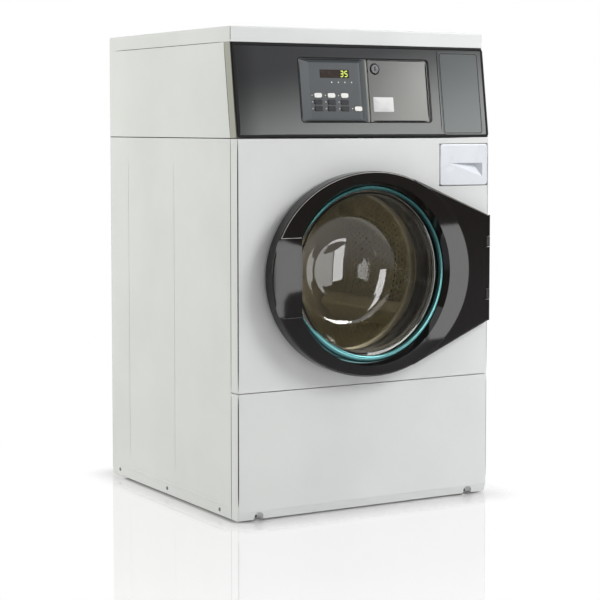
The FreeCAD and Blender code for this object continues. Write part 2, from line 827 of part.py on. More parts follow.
# Console fascia: a dark moulding over the whole console with the control recess and the insert's opening.
fascia = new_body("console_fascia")
insert_hole = rectangle(
    ("insert_left", "insert_left + insert_width"), ("insert_bottom", "insert_bottom + insert_height")
)
fascia_edge = rectangle((f"-{SIDE}", SIDE), ("panel_gap / 2", f"{CONSOLE_LENGTH} - seat_gap"))
recess_edge = rectangle(("-recess_left", "recess_right"), recess_u)
feature(
    fascia, "Pad", sketch(fascia, "XZ_Plane", fascia_edge, recess_edge, insert_hole), backwards=True,
    Length="fascia_thickness",
)
outer_end = sheet.cabinet_width / 2 - sheet.corner_radius
rounded(fascia, "recess_radius", lambda box: runs_along(box, "y") and abs(box.XMin) < outer_end)
rounded(
    fascia, "fascia_radius",
    lambda box: box.YMax < 0.001 and runs_along(box, "z") and abs(box.XMin) > outer_end,
)
settle_in_console("console_fascia", fascia)

# Blank insert: a bare rounded plate that closes the fascia's right-hand opening.
insert = plate(
    "blank_insert", "XZ_Plane",
    [
        rectangle(
            ("insert_left + recess_fit", "insert_left + insert_width - recess_fit"),
            ("insert_bottom + recess_fit", "insert_bottom + insert_height - recess_fit"),
        )
    ],
    "fascia_thickness + insert_proud", backwards=True, offset="insert_proud",
)
rounded(insert, "recess_radius", lambda box: runs_along(box, "y"))
settle_in_console("blank_insert", insert)

# Control bezel: a dished keypad tray with sloping borders, a display window and a hole for each key.
bezel = new_body("control_bezel")
bezel_x = ("-recess_left + recess_fit", "bezel_right - recess_fit")
bezel_u = ("recess_bottom + recess_fit", "recess_top - recess_fit")
feature(
    bezel, "Pad", sketch(bezel, "XZ_Plane", rectangle(bezel_x, bezel_u), offset="-bezel_front"),
    backwards=True, Length="bezel_thickness",
)
rounded(bezel, "recess_radius", lambda box: runs_along(box, "y") and box.XMin < 0)
rim = "2 * sheet"
dish_top = rectangle(
    (f"{bezel_x[0]} + {rim}", f"{bezel_x[1]} - {rim}"), (f"{bezel_u[0]} + {rim}", f"{bezel_u[1]} - {rim}")
)
dish_floor = rectangle(
    ("-recess_left + bezel_side_slope", "bezel_right - bezel_inner_slope"),
    ("recess_bottom + bezel_end_slope", "recess_top - bezel_end_slope"),
)
dish = bezel.newObject("PartDesign::SubtractiveLoft", "bezel_dish_cut")
dish.Profile = sketch(bezel, "XZ_Plane", dish_top, offset="-bezel_front")
dish.Sections = [sketch(bezel, "XZ_Plane", dish_floor, offset=f"-{BEZEL_FLOOR}")]
dish.Ruled = True


def key_hole(column, row, margin):
    middle_x = f"(column_pitch * {column} - first_column)"
    middle_u = f"(top_row - row_pitch * {row})"
    return rectangle(
        (f"{middle_x} - key_width / 2 - {margin}", f"{middle_x} + key_width / 2 + {margin}"),
        (f"{middle_u} - key_height / 2 - {margin}", f"{middle_u} + key_height / 2 + {margin}"),
    )


def window_edge(margin):
    return rectangle(
        (f"-window_left - {margin}", f"window_width - window_left + {margin}"),
        (f"window_bottom - {margin}", f"window_bottom + window_height + {margin}"),
    )


bezel_holes = [key_hole(column, row, "key_fit") for column, row in KEY_GRID]
feature(
    bezel, "Pocket", sketch(bezel, "XZ_Plane", window_edge("window_fit"), *bezel_holes),
    Length=f"{BEZEL_BACK} + sheet",
)
settle_in_console("control_bezel", bezel)

# Display window: a clear block in the bezel with a flange behind it.
window = new_body("display_window")
feature(
    window, "Pad", sketch(window, "XZ_Plane", window_edge("0"), offset=f"-{BEZEL_FLOOR}"), backwards=True,
    Length=f"{BEZEL_BACK} - {BEZEL_FLOOR}",
)
feature(
    window, "Pad", sketch(window, "XZ_Plane", window_edge("window_flange"), offset=f"-{BEZEL_BACK}"),
    backwards=True, Length="sheet",
)
settle_in_console("display_window", window)

# Keypad keys: ten rounded caps, each with a flange behind the bezel, that slide in by the key travel.
FLANGE_FRONT = f"({BEZEL_BACK} + key_fit)"
KEY_BACK = f"({FLANGE_FRONT} + key_flange_depth)"
for number, (column, row) in enumerate(KEY_GRID, start=1):
    key = new_body(f"keypad_key_{number}")
    front_face = f"({BEZEL_FLOOR} - key_proud)"
    feature(
        key, "Pad", sketch(key, "XZ_Plane", key_hole(column, row, "0"), offset=f"-{front_face}"),
        backwards=True, Length=f"{KEY_BACK} - {front_face}",
    )
    rounded(key, "key_radius", lambda box: runs_along(box, "y"))
    feature(
        key, "Pad", sketch(key, "XZ_Plane", key_hole(column, row, "key_flange"), offset=f"-{FLANGE_FRONT}"),
        backwards=True, Length="key_flange_depth",
    )
    settle_in_console(f"keypad_key_{number}", key)

# Control board: a circuit board on four posts behind the bezel, with a push switch under each key.
board_x = ("-recess_left + bezel_thickness", "bezel_right - bezel_thickness")
board_u = ("recess_bottom + bezel_thickness", "recess_top - bezel_thickness")
board_plate = block(
    "board_plate", board_x, ("board_back - board_thickness", "board_back"), board_u
)
BOARD_FACE = "board_back - board_thickness"
posts = [
    rod(f"board_post_{i}_{j}", "y", (x, u), "board_post_radius", (BEZEL_BACK, BOARD_FACE))
    for i, x in enumerate((f"{board_x[0]} + board_post_radius", f"{board_x[1]} - board_post_radius"))
    for j, u in enumerate((f"{board_u[0]} + board_post_radius", f"{board_u[1]} - board_post_radius"))
]
switches = [
    rod(
        f"board_switch_{i}", "y", (f"column_pitch * {column} - first_column", f"top_row - row_pitch * {row}"),
        "switch_radius", (f"{KEY_BACK} + key_travel + seat_gap", BOARD_FACE),
    )
    for i, (column, row) in enumerate(KEY_GRID)
]
settle_in_console("control_board", joined("control_board", board_plate, *posts, *switches))

# Service plate: a steel flap over the coin and service opening, with a hinge barrel along its right edge.
PLATE_RIGHT = "(recess_right - plate_barrel - recess_fit)"
flap = plate(
    "service_flap", "XZ_Plane",
    [
        rectangle(("plate_left", PLATE_RIGHT), bezel_u),
        ("lock_x", "lock_height", "lock_radius + lock_fit"),
    ],
    "plate_thickness", backwards=True, offset="-plate_front",
)
plate_middle = sheet.plate_left / 2 + sheet.recess_right / 2
rounded(flap, "plate_radius", lambda box: runs_along(box, "y") and box.XMin > plate_middle)
barrel = rod(
    "service_barrel", "z", (PLATE_RIGHT, "plate_front + plate_thickness / 2"), "plate_barrel",
    (f"{bezel_u[0]} + recess_radius", f"{bezel_u[1]} - recess_radius"),
)
settle_in_console("service_plate", joined("service_plate", flap, barrel))

# Lock cylinder: a turned plug in the service plate with a key slot and a short cam behind it.
plug_front = "plate_front - lock_proud"
plug_back = "plate_front + lock_length - lock_proud"
plug = rod("lock_plug", "y", ("lock_x", "lock_height"), "lock_radius", (plug_front, plug_back))
cam = block(
    "lock_cam", ("lock_x - cam_length", "lock_x"), (f"{plug_back} - cam_thickness", plug_back),
    ("lock_height - cam_width / 2", "lock_height + cam_width / 2"),
)
keyway = block(
    "lock_keyway_slot", ("lock_x - lock_keyway / 2", "lock_x + lock_keyway / 2"),
    (f"{plug_front} - sheet", "plate_front + lock_length / 2"),
    ("lock_height - lock_radius / 2", "lock_height + lock_radius / 2"),
)
settle_in_console("lock_cylinder", carved("lock_cylinder", joined("lock_turned", plug, cam), keyway))

# Drawer front: a thick rounded moulding with a finger scoop that deepens towards its right-hand end.
drawer = new_body("drawer_moulding")
drawer_x = ("drawer_left", "drawer_left + drawer_width")
drawer_z = ("drawer_bottom", "drawer_bottom + drawer_height")
feature(
    drawer, "Pad", sketch(drawer, "XZ_Plane", rectangle(drawer_x, drawer_z), offset="drawer_proud"),
    backwards=True, Length="drawer_front_depth",
)
rounded(drawer, "drawer_radius", lambda box: runs_along(box, "y"))
drawer_face = -sheet.drawer_proud
rounded(drawer, "drawer_edge_radius", lambda box: box.YMax < drawer_face + 0.001)
scoop_high = sheet.drawer_bottom + sheet.grip_top
scoop_end = sheet.drawer_left + sheet.grip_right
scoop_section = Part.makePolygon(
    [
        V(scoop_end, drawer_face, scoop_high),
        V(scoop_end, drawer_face, sheet.drawer_bottom + sheet.grip_low),
        V(scoop_end - sheet.grip_taper, drawer_face + sheet.grip_depth, scoop_high),
        V(scoop_end, drawer_face, scoop_high),
    ]
)
scoop_tip = Part.Vertex(sheet.drawer_left + sheet.grip_left, drawer_face, scoop_high)
scoop = shaped("drawer_scoop", Part.makeLoft([scoop_section, scoop_tip], True, True))
settle("drawer_front", carved("drawer_front", drawer, scoop))

# Dispenser tray: the drawer's open box, with one long and two short compartments.
DRAWER_BACK = "(drawer_front_depth - drawer_proud)"
TRAY_LEFT = "(housing_left + housing_wall + tray_fit)"
TRAY_RIGHT = "(housing_left + housing_width - housing_wall - tray_fit)"
TRAY_LOW = "(housing_bottom + housing_wall + seat_gap)"
TRAY_MIDDLE = f"({TRAY_LEFT} / 2 + {TRAY_RIGHT} / 2)"
tray = plate(
    "dispenser_tray", "XY_Plane",
    [rectangle((TRAY_LEFT, TRAY_RIGHT), (DRAWER_BACK, f"{DRAWER_BACK} + tray_length"))],
    "tray_height", offset=TRAY_LOW,
)
long_y = (f"{DRAWER_BACK} + tray_wall", f"{DRAWER_BACK} + tray_length - tray_wall")
right_x = (f"{TRAY_MIDDLE} + tray_wall / 2", f"{TRAY_RIGHT} - tray_wall")
compartments = [
    rectangle((f"{TRAY_LEFT} + tray_wall", f"{TRAY_MIDDLE} - tray_wall / 2"), long_y),
    rectangle(right_x, (long_y[0], f"{long_y[0]} + partition_depth")),
    rectangle(right_x, (f"{long_y[0]} + partition_depth + tray_wall", long_y[1])),
]
feature(
    tray, "Pocket", sketch(tray, "XY_Plane", *compartments, offset=f"{TRAY_LOW} + tray_height"),
    Length="tray_height - tray_wall",
)
settle("dispenser_tray", tray)

# Dispenser housing: a box open to the front, hung from the front panel by a tab, with hose spigots.
HOUSING_BACK = "(drawer_front_depth + housing_depth)"
HOUSING_TOP = "(housing_bottom + housing_height)"
housing_box = plate(
    "housing_box", "XZ_Plane",
    [rectangle(("housing_left", "housing_left + housing_width"), ("housing_bottom", HOUSING_TOP))],
    "housing_depth", backwards=True, offset="-drawer_front_depth",
)
housing_room = rectangle(
    ("housing_left + housing_wall", "housing_left + housing_width - housing_wall"),
    ("housing_bottom + housing_wall", f"{HOUSING_TOP} - housing_wall"),
)
feature(
    housing_box, "Pocket", sketch(housing_box, "XZ_Plane", housing_room, offset="-drawer_front_depth"),
    Length="housing_depth - housing_wall",
)
TAB_LOW = "(drawer_bottom + drawer_height + drawer_gap)"
tab = block(
    "housing_hanger", ("housing_left", "housing_left + housing_width"),
    ("sheet", "2 * drawer_front_depth"), (TAB_LOW, f"{TAB_LOW} + housing_tab"),
)
spigot_places = [f"housing_left + housing_spigot_first + {i} * housing_spigot_pitch" for i in range(2)]
spigots = [
    rod(
        f"housing_spigot_{i}", "y", (x, "hose_drop"), "spigot_radius",
        (HOUSING_BACK, f"{HOUSING_BACK} + spigot_length"),
    )
    for i, x in enumerate(spigot_places)
]
outlet = rod(
    "housing_outlet", "z", ("fill_spigot_x", "fill_spigot_depth"), "fill_spigot_radius",
    ("housing_bottom - outlet_length", "housing_bottom"),
)
settle("dispenser_housing", joined("dispenser_housing", housing_box, tab, *spigots, outlet))

# Inlet valves: two solenoid valves whose threaded stubs come out through the rear panel.
FLANGE_BACK = f"({INNER_BACK} - inlet_flange)"
VALVE_FRONT = f"({FLANGE_BACK} - valve_length)"
FITTING_END = "(cabinet_depth + fitting_reach)"
THREAD_ROOT = "(cabinet_depth + thread_root)"
valves = []
for i, x in enumerate(inlet_places):
    here = (x, "inlet_height")
    middle = (x, f"{VALVE_FRONT} + valve_length / 2")
    coil_foot = "inlet_height + valve_height / 2"
    valve = joined(
        f"valve_body_{i}",
        rod(f"valve_neck_{i}", "y", here, "inlet_neck", (FLANGE_BACK, THREAD_ROOT)),
        rod(f"valve_thread_{i}", "y", here, "inlet_radius", (THREAD_ROOT, FITTING_END)),
        rod(f"valve_flange_{i}", "y", here, "inlet_flange_radius", (FLANGE_BACK, INNER_BACK)),
        block(
            f"valve_block_{i}", (f"{x} - valve_width / 2", f"{x} + valve_width / 2"),
            (VALVE_FRONT, FLANGE_BACK), ("inlet_height - valve_height / 2", coil_foot),
        ),
        rod(f"valve_coil_{i}", "z", middle, "coil_radius", (coil_foot, f"{coil_foot} + coil_height")),
        rod(f"valve_spigot_{i}", "y", here, "spigot_radius", (f"{VALVE_FRONT} - spigot_length", VALVE_FRONT)),
    )
    bore = rod(f"valve_bore_{i}", "y", here, "inlet_bore", (f"{FITTING_END} - inlet_bore_depth", FITTING_END))
    valves.append(carved(f"valve_{i}", valve, bore))
settle("inlet_valves", group("inlet_valves", *valves))


def rounded_path(points):
    """Straight runs joined by tangent arcs, each as large as its shorter run allows."""
    edges = []
    start = points[0]
    for before, corner, after in zip(points, points[1:], points[2:]):
        entry = before - corner
        leave = after - corner
        reach = 0.45 * min(entry.Length, leave.Length)
        first = corner + V(entry).normalize() * reach
        last = corner + V(leave).normalize() * reach
        half_turn = (math.pi - entry.getAngle(leave)) / 2
        radius = reach / math.tan(half_turn)
        halfway = (V(entry).normalize() + V(leave).normalize()).normalize()
        centre = corner + halfway * math.hypot(reach, radius)
        middle = centre + (corner - centre).normalize() * radius
        edges.append(Part.LineSegment(start, first).toShape())
        edges.append(Part.Arc(first, middle, last).toShape())
        start = last
    edges.append(Part.LineSegment(start, points[-1]).toShape())
    return Part.Wire(edges)


def tube(points, outer, inner):
    """A hose along a path: the round section of its outside less that of its bore."""
    path = rounded_path(points)
    direction = points[1] - points[0]
    solids = []
    for radius in (outer, inner):
        ring = Part.Wire(Part.Circle(points[0], direction, radius).toShape())
        shell = Part.BRepOffsetAPI.MakePipeShell(path)
        shell.add(ring)
        shell.build()
        shell.makeSolid()
        solids.append(shell.shape())
    return solids[0].cut(solids[1])


# Fill hoses: one from each valve to the dispenser, and a short sleeve from the dispenser to the tub.
valve_front = sheet.cabinet_depth - sheet.sheet - sheet.inlet_flange - sheet.valve_length
housing_back = sheet.drawer_front_depth + sheet.housing_depth
hose_outer = sheet.spigot_radius + sheet.hose_wall
fill_hoses = []
for i in range(2):
    valve_x = sheet.inlet_first + i * sheet.inlet_pitch
    spigot_x = sheet.housing_left + sheet.housing_spigot_first + i * sheet.housing_spigot_pitch
    route = [
        V(valve_x, valve_front - sheet.seat_gap, sheet.inlet_height),
        V(valve_x, sheet.hose_bend_back, sheet.inlet_height),
        V(spigot_x, sheet.hose_bend_front, sheet.hose_drop),
        V(spigot_x, housing_back + sheet.seat_gap, sheet.hose_drop),
    ]
    fill_hoses.append(shaped(f"fill_hose_{i}", tube(route, hose_outer, sheet.spigot_radius)))
sleeve_place = ("fill_spigot_x", "fill_spigot_depth")
sleeve_ends = ("fill_hose_low", "housing_bottom - seat_gap")
sleeve = carved(
    "tub_fill_sleeve",
    rod("sleeve_outside", "z", sleeve_place, "fill_spigot_radius + hose_wall", sleeve_ends),
    rod("sleeve_bore", "z", sleeve_place, "fill_spigot_radius", sleeve_ends),
)
settle("fill_hoses", group("fill_hoses", *fill_hoses, sleeve))

# Cable gland: the empty cable entry, screwed through the rear panel with a nut inside.
gland_place = ("-gland_x", "gland_height")
GLAND_END = "cabinet_depth + gland_reach"
gland_start = f"{INNER_BACK} - gland_thread_depth"
gland = joined(
    "gland_turned",
    rod("gland_cap", "y", gland_place, "gland_radius", ("cabinet_depth", GLAND_END)),
    rod("gland_thread", "y", gland_place, "gland_thread_radius", (gland_start, "cabinet_depth")),
    rod("gland_nut_ring", "y", gland_place, "gland_radius", (f"{INNER_BACK} - gland_nut", INNER_BACK)),
)
gland_hole = rod("gland_hole", "y", gland_place, "gland_bore", (gland_start, GLAND_END))
settle("cable_gland", carved("cable_gland", gland, gland_hole))


def upright(points):
    """A face through points given as (x, z) in the upright plane of the front."""
    corners = [V(x, 0, z) for x, z in points]
    return Part.Face(Part.makePolygon(corners + corners[:1]))


def prism(face, front, back):
    """An upright face carried from one depth to another."""
    moved = face.copy()
    moved.translate(V(0, front, 0))
    return moved.extrude(V(0, back - front, 0))


def ellipse_face(half_width, half_height):
    face = Part.Face(Part.Wire(Part.Ellipse(V(), half_width, half_height).toShape()))
    face.rotate(V(), V(1, 0, 0), 90)
    return face


def wing_corners(half_width, half_height, slope, end):
    """Where the wing's straight edges leave the ellipse, and where they end, above the axis."""
    rise = math.hypot(half_width * slope, half_height)
    leave = (half_width**2 * slope / rise, half_height**2 / rise)
    return leave, (end, rise - slope * end)


# Door outer frame: an oval ring with a sloping wing to the hinge, a bevelled window and a grip pocket.
proud = sheet.door_proud
split = sheet.door_split
hinge_reach = sheet.hinge_x - sheet.axis_x
ring = prism(ellipse_face(sheet.door_half_width, sheet.door_half_height), -proud, -split)
ring_edges = [edge for edge in ring.Edges if edge.CenterOfMass.y < 0.001 - proud]
ring = ring.makeFillet(sheet.door_edge_radius, ring_edges)
leave, end = wing_corners(sheet.door_half_width, sheet.door_half_height, sheet.wing_slope, hinge_reach)
wing_sides = prism(upright([leave, end, (end[0], -end[1]), (leave[0], -leave[1])]), -proud, -split)
wing_plan = Part.Face(
    Part.makePolygon(
        [
            V(leave[0], -proud, 0),
            V(hinge_reach, -sheet.hinge_forward - sheet.knuckle_radius, 0),
            V(hinge_reach, -split, 0),
            V(leave[0], -split, 0),
            V(leave[0], -proud, 0),
        ]
    )
)
wing_plan.translate(V(0, 0, -leave[1]))
wing = wing_sides.common(wing_plan.extrude(V(0, 0, 2 * leave[1])))
barrel_place = V(hinge_reach, -sheet.hinge_forward, -end[1])
wing_end = Part.makeCylinder(sheet.knuckle_radius, 2 * end[1], barrel_place)
flange_radius = sheet.ring_radius + sheet.glass_flange + sheet.ring_fit
bevel_radius = sheet.ring_radius + sheet.ring_bevel
beyond = proud + sheet.sheet
window_profile = [
    V(0, -beyond, 0), V(bevel_radius, -beyond, 0), V(bevel_radius, -proud, 0),
    V(sheet.ring_radius, sheet.ring_bevel_depth - proud, 0),
    V(sheet.ring_radius, -sheet.glass_flange_front, 0),
    V(flange_radius, -sheet.glass_flange_front, 0), V(flange_radius, sheet.sheet - split, 0),
    V(0, sheet.sheet - split, 0), V(0, -beyond, 0),
]
door_window = Part.Face(Part.makePolygon(window_profile)).revolve(V(), V(0, 1, 0), 360)
grip_face = sheet.grip_step - proud
lip_back = grip_face + sheet.grip_lip
grip_half = sheet.grip_half_height
finger_half = grip_half - sheet.finger_margin
scoop_box = Part.makeBox(
    sheet.grip_outer_x, grip_face + beyond, 2 * grip_half, V(-sheet.grip_outer_x, -beyond, -grip_half)
)
finger_box = Part.makeBox(
    sheet.finger_depth, -sheet.glass_flange_front - lip_back, 2 * finger_half,
    V(-sheet.finger_depth, lip_back, -finger_half),
)
lip_box = Part.makeBox(
    sheet.grip_outer_x - sheet.grip_lip_x, sheet.grip_lip, 2 * grip_half,
    V(-sheet.grip_outer_x, grip_face, -grip_half),
).common(ring)
door_frame = ring.fuse([wing, wing_end]).cut([door_window, scoop_box, finger_box]).fuse(lip_box)
knuckle_room = sheet.knuckle_radius + sheet.knuckle_gap
slot_half = sheet.knuckle_height / 2 + sheet.knuckle_gap
knuckle_slots = [
    Part.makeBox(
        2 * knuckle_room, 2 * proud, 2 * slot_half,
        V(hinge_reach - knuckle_room, -2 * proud, side * sheet.knuckle_spread - slot_half),
    )
    for side in (-1, 1)
]
pin_bore = Part.makeCylinder(sheet.hinge_pin_radius + sheet.hinge_pin_fit, 2 * end[1], barrel_place)
door_frame = door_frame.cut([*knuckle_slots, pin_bore]).removeSplitter()
settle_on_axis("door_outer_frame", shaped("door_outer_frame", door_frame))

# Door inner frame: the flat back of the door, which clamps the glass rim against the outer frame.
inset = sheet.door_back_inset
inner_half_width = sheet.door_half_width - inset
inner_half_height = sheet.door_half_height - inset
leave, end = wing_corners(
    inner_half_width, inner_half_height, sheet.wing_slope, hinge_reach - sheet.hinge_frame_gap
)
back_oval = prism(ellipse_face(inner_half_width, inner_half_height), -split, -sheet.door_back)
back_wing = prism(
    upright([leave, end, (end[0], -end[1]), (leave[0], -leave[1])]), -split, -sheet.door_back
)
bowl_hole = Part.makeCylinder(
    sheet.bowl_mouth_radius + sheet.inner_frame_fit, split, V(0, -split, 0), V(0, 1, 0)
)
door_back = back_oval.fuse(back_wing).cut(bowl_hole).removeSplitter()
settle_on_axis("door_inner_frame", shaped("door_inner_frame", door_back))

# Door glass: a deep bowl with a flat rim, its end rounded into a shallow crown.
RIM_RADIUS = "(ring_radius + glass_flange)"
glass = turned(
    "door_glass",
    [
        (RIM_RADIUS, "-glass_flange_front"), (RIM_RADIUS, "-door_split"),
        ("bowl_mouth_radius", "-door_split"),
        ("bowl_knee_radius", "bowl_knee_depth"), ("bowl_end_radius", "bowl_end_depth"),
        ("0", "bowl_end_depth + bowl_crown"), ("0", "bowl_end_depth + bowl_crown - glass_wall"),
        ("bowl_end_radius - glass_wall", "bowl_end_depth - glass_wall"),
        ("bowl_knee_radius - glass_wall", "bowl_knee_depth - glass_wall / 2"),
        ("bowl_mouth_radius - glass_wall", "-glass_flange_front"),
    ],
)
bowl_rims = (sheet.bowl_end_radius, sheet.bowl_end_radius - sheet.glass_wall)
rounded(
    glass, "bowl_round",
    lambda box: box.YLength < 0.01 and any(abs(box.XMax - rim) < 0.01 for rim in bowl_rims),
)
settle_on_axis("door_glass", glass)

# Trim ring: a tinted ring in the bevelled window, in front of the glass rim, left out at the grip.
RING_FRONT = "(ring_bevel_depth - door_proud)"
trim = turned(
    "trim_full_ring",
    [
        ("ring_radius - ring_width", RING_FRONT), ("ring_radius - ring_fit", RING_FRONT),
        ("ring_radius - ring_fit", "-glass_flange_front"), ("ring_radius - ring_width", "-glass_flange_front"),
    ],
)
ring_face = sheet.ring_bevel_depth - proud
ring_inner = sheet.ring_radius - sheet.ring_width
rounded(trim, "2 * sheet", lambda box: box.YMax < ring_face + 0.01 and box.XMax < ring_inner + 0.01)
grip_gap = block(
    "trim_gap", ("-ring_radius", "0"), (f"{RING_FRONT} - sheet", "0"),
    ("-grip_half_height", "grip_half_height"),
)
settle_on_axis("door_trim_ring", carved("door_trim_ring", trim, grip_gap))

# Door strike: a steel tongue with an eye on the back of the door, opposite the hinge.
strike_bar = block(
    "strike_bar", ("-strike_x - strike_width / 2", "-strike_x + strike_width / 2"),
    ("-door_back", "strike_reach"), ("-strike_height / 2", "strike_height / 2"),
)
strike_eye = rod(
    "strike_hole", "x", ("strike_reach - 2 * strike_eye", "0"), "strike_eye",
    ("-strike_x - strike_width", "-strike_x + strike_width"),
)
settle_on_axis("door_strike", carved("door_strike", strike_bar, strike_eye))

# Door lock: a block behind the front panel with a pocket for the strike.
lock_block = block(
    "lock_block", (f"{STRIKE} - lock_body_width / 2", f"{STRIKE} + lock_body_width / 2"),
    ("sheet", "lock_body_depth"),
    ("axis_height - lock_body_height / 2", "axis_height + lock_body_height / 2"),
)
lock_pocket = block(
    "lock_pocket",
    (f"{STRIKE} - strike_width / 2 - lock_slot_fit", f"{STRIKE} + strike_width / 2 + lock_slot_fit"),
    ("0", "strike_reach + lock_slot_fit"),
    ("axis_height - strike_height / 2 - lock_slot_fit", "axis_height + strike_height / 2 + lock_slot_fit"),
)
settle("door_lock", carved("door_lock", lock_block, lock_pocket))

# Hinge bracket: a plate on the front panel with two knuckles that fill the slots in the door's wing.
hinge_line = ("hinge_x", "-hinge_forward")
knuckle_middles = ["axis_height - knuckle_spread", "axis_height + knuckle_spread"]
knuckle_ends = [(f"{z} - knuckle_height / 2", f"{z} + knuckle_height / 2") for z in knuckle_middles]
hinge_backing = block(
    "hinge_backing", ("hinge_x - hinge_plate_width", "hinge_x + hinge_web"), ("-hinge_plate", "0"),
    ("axis_height - hinge_plate_half", "axis_height + hinge_plate_half"),
)
knuckles = [
    rod(f"hinge_knuckle_{i}", "z", hinge_line, "knuckle_radius", ends) for i, ends in enumerate(knuckle_ends)
]
knuckle_webs = [
    block(f"hinge_web_{i}", ("hinge_x - hinge_web", "hinge_x + hinge_web"), ("-hinge_forward", "0"), ends)
    for i, ends in enumerate(knuckle_ends)
]
pin_ends = ("axis_height - hinge_pin_half", "axis_height + hinge_pin_half")
knuckle_bore = rod("hinge_knuckle_bore", "z", hinge_line, "hinge_pin_radius", pin_ends)
settle(
    "hinge_bracket",
    carved("hinge_bracket", joined("hinge_body", hinge_backing, *knuckles, *knuckle_webs), knuckle_bore),
)

# Hinge pin: one steel rod, tight in the bracket's knuckles and free in the door's.
settle("hinge_pin", group("hinge_pin", rod("hinge_steel", "z", hinge_line, "hinge_pin_radius", pin_ends)))

# Door gasket: a rubber bellows from the port's lip to the tub's neck, with a sealing lip and one fold.
BEAD_RADIUS = "(port_radius - seat_gap)"
COLLAR_RADIUS = "(tub_neck_radius - ring_fit)"
gasket = turned(
    "door_gasket",
    [
        ("gasket_lip_radius", "gasket_lip_front"), (BEAD_RADIUS, "gasket_lip_front - panel_gap"),
        (BEAD_RADIUS, "gasket_bead_end"), ("gasket_fold_radius", "gasket_fold_front"),
        ("gasket_fold_radius", "gasket_fold_back"), (COLLAR_RADIUS, "gasket_collar_start"),
        (COLLAR_RADIUS, "gasket_collar_end"), (f"{COLLAR_RADIUS} - gasket_wall", "gasket_collar_end"),
        (f"{COLLAR_RADIUS} - gasket_wall", "gasket_collar_start - sheet"),
        ("gasket_fold_radius - gasket_wall", "gasket_fold_back - panel_gap"),
        ("gasket_fold_radius - gasket_wall", "gasket_fold_front + panel_gap"),
        (f"{BEAD_RADIUS} - gasket_wall", "gasket_bead_end + panel_gap"),
        (f"{BEAD_RADIUS} - gasket_wall", "gasket_lip_front + gasket_wall + sheet"),
        ("gasket_lip_radius", "gasket_lip_front + gasket_wall"),
    ],
)
settle_on_axis("door_gasket", gasket)

# Tub front: a ring with a neck for the gasket and a flange that meets the barrel.
JOINT_RADIUS = "(tub_radius + tub_flange)"
tub_front = turned(
    "tub_front",
    [
        ("tub_neck_radius", "gasket_collar_start + panel_gap"),
        ("tub_neck_radius + tub_wall", "gasket_collar_start + panel_gap"),
        ("tub_neck_radius + tub_wall", "tub_face"), (JOINT_RADIUS, "tub_face"), (JOINT_RADIUS, "tub_joint"),
        ("tub_radius", "tub_joint"), ("tub_radius", "tub_face + tub_face_wall"),
        ("tub_neck_radius", "tub_face + tub_face_wall"),
    ],
)
settle_on_axis("tub_front", tub_front)

# Tub rear: the barrel with its back wall and bearing hub, lugs for springs, dampers and motor, and spigots.
TUB_END = "(tub_back + tub_face_wall)"
barrel_wall = turned(
    "tub_barrel",
    [
        ("tub_radius", "tub_joint"), (JOINT_RADIUS, "tub_joint"),
        (JOINT_RADIUS, "tub_joint + tub_joint_flange"), (TUB_OUTER, "tub_joint + tub_joint_flange"),
        (TUB_OUTER, TUB_END), ("tub_hub_radius", TUB_END), ("tub_hub_radius", "tub_hub_back"),
        ("bearing_radius", "tub_hub_back"), ("bearing_radius", "tub_back"), ("tub_radius", "tub_back"),
    ],
)
tub_lugs = [
    block(
        f"spring_lug_{i}_{j}",
        span(side, "tub_radius - lug_width", f"spring_x + spring_overhang - ({side}) * axis_x"),
        (f"{depth} - lug_width / 2", f"{depth} + lug_width / 2"),
        ("spring_low - lug_thickness - axis_height", "spring_low - axis_height"),
    )
    for i, side in enumerate((-1, 1))
    for j, depth in enumerate(spring_depths)
]
damper_depths = ["front_beam + rail_width / 2", "rear_beam + rail_width / 2"]
tub_lugs += [
    block(
        f"damper_lug_{i}_{j}",
        (f"{side} * damper_spread - lug_width / 2", f"{side} * damper_spread + lug_width / 2"),
        (f"{depth} - lug_width / 2", f"{depth} + lug_width / 2"),
        ("damper_top - axis_height", "-tub_radius / 2"),
    )
    for i, side in enumerate((-1, 1))
    for j, depth in enumerate(damper_depths)
]
MOTOR_LUG = ("motor_front + motor_bell", "tub_back")
tub_lugs.append(
    block(
        "motor_hanger",
        ("motor_x - axis_x - motor_lug_width / 2", "motor_x - axis_x + motor_lug_width / 2"), MOTOR_LUG,
        ("motor_lug_top - axis_height", "-tub_radius / 2"),
    )
)
sump_place = ("0", "sump_depth")
fill_place = ("fill_spigot_x - axis_x", "fill_spigot_depth")
sump_ends = ("sump_low - axis_height", "lug_width - tub_radius")
fill_ends = ("lug_width", "fill_spigot_top - axis_height")
tub_spigots = [
    rod("sump_spigot", "z", sump_place, "sump_radius", sump_ends),
    rod("fill_spigot", "z", fill_place, "fill_spigot_radius", fill_ends),
]
tub_room = rod("tub_room", "y", ("0", "0"), "tub_radius", ("tub_joint", "tub_back"))
tub_bores = [
    rod("sump_way", "z", sump_place, "sump_bore", sump_ends),
    rod("fill_way", "z", fill_place, "fill_bore", fill_ends),
]
settle_on_axis(
    "tub_rear",
    carved("tub_rear", joined("tub_cast", barrel_wall, *tub_lugs, *tub_spigots), tub_room, *tub_bores),
)

# Counterweights: two ring sectors of cast iron bolted to the tub's face, above and below the neck.
weights = []
for turn in (-90, 90):
    weight = new_body(f"weight_{'upper' if turn < 0 else 'lower'}")
    weight_edge = rectangle(("weight_inner", "weight_outer"), ("weight_front", "tub_face"))
    sector = feature(weight, "Revolution", sketch(weight, "XY_Plane", weight_edge), Angle="weight_angle")
    sector.Midplane = True
    weight.Placement = FreeCAD.Placement(V(), FreeCAD.Rotation(V(0, 1, 0), turn))
    weights.append(weight)
settle_on_axis("counterweights", group("counterweights", *weights))

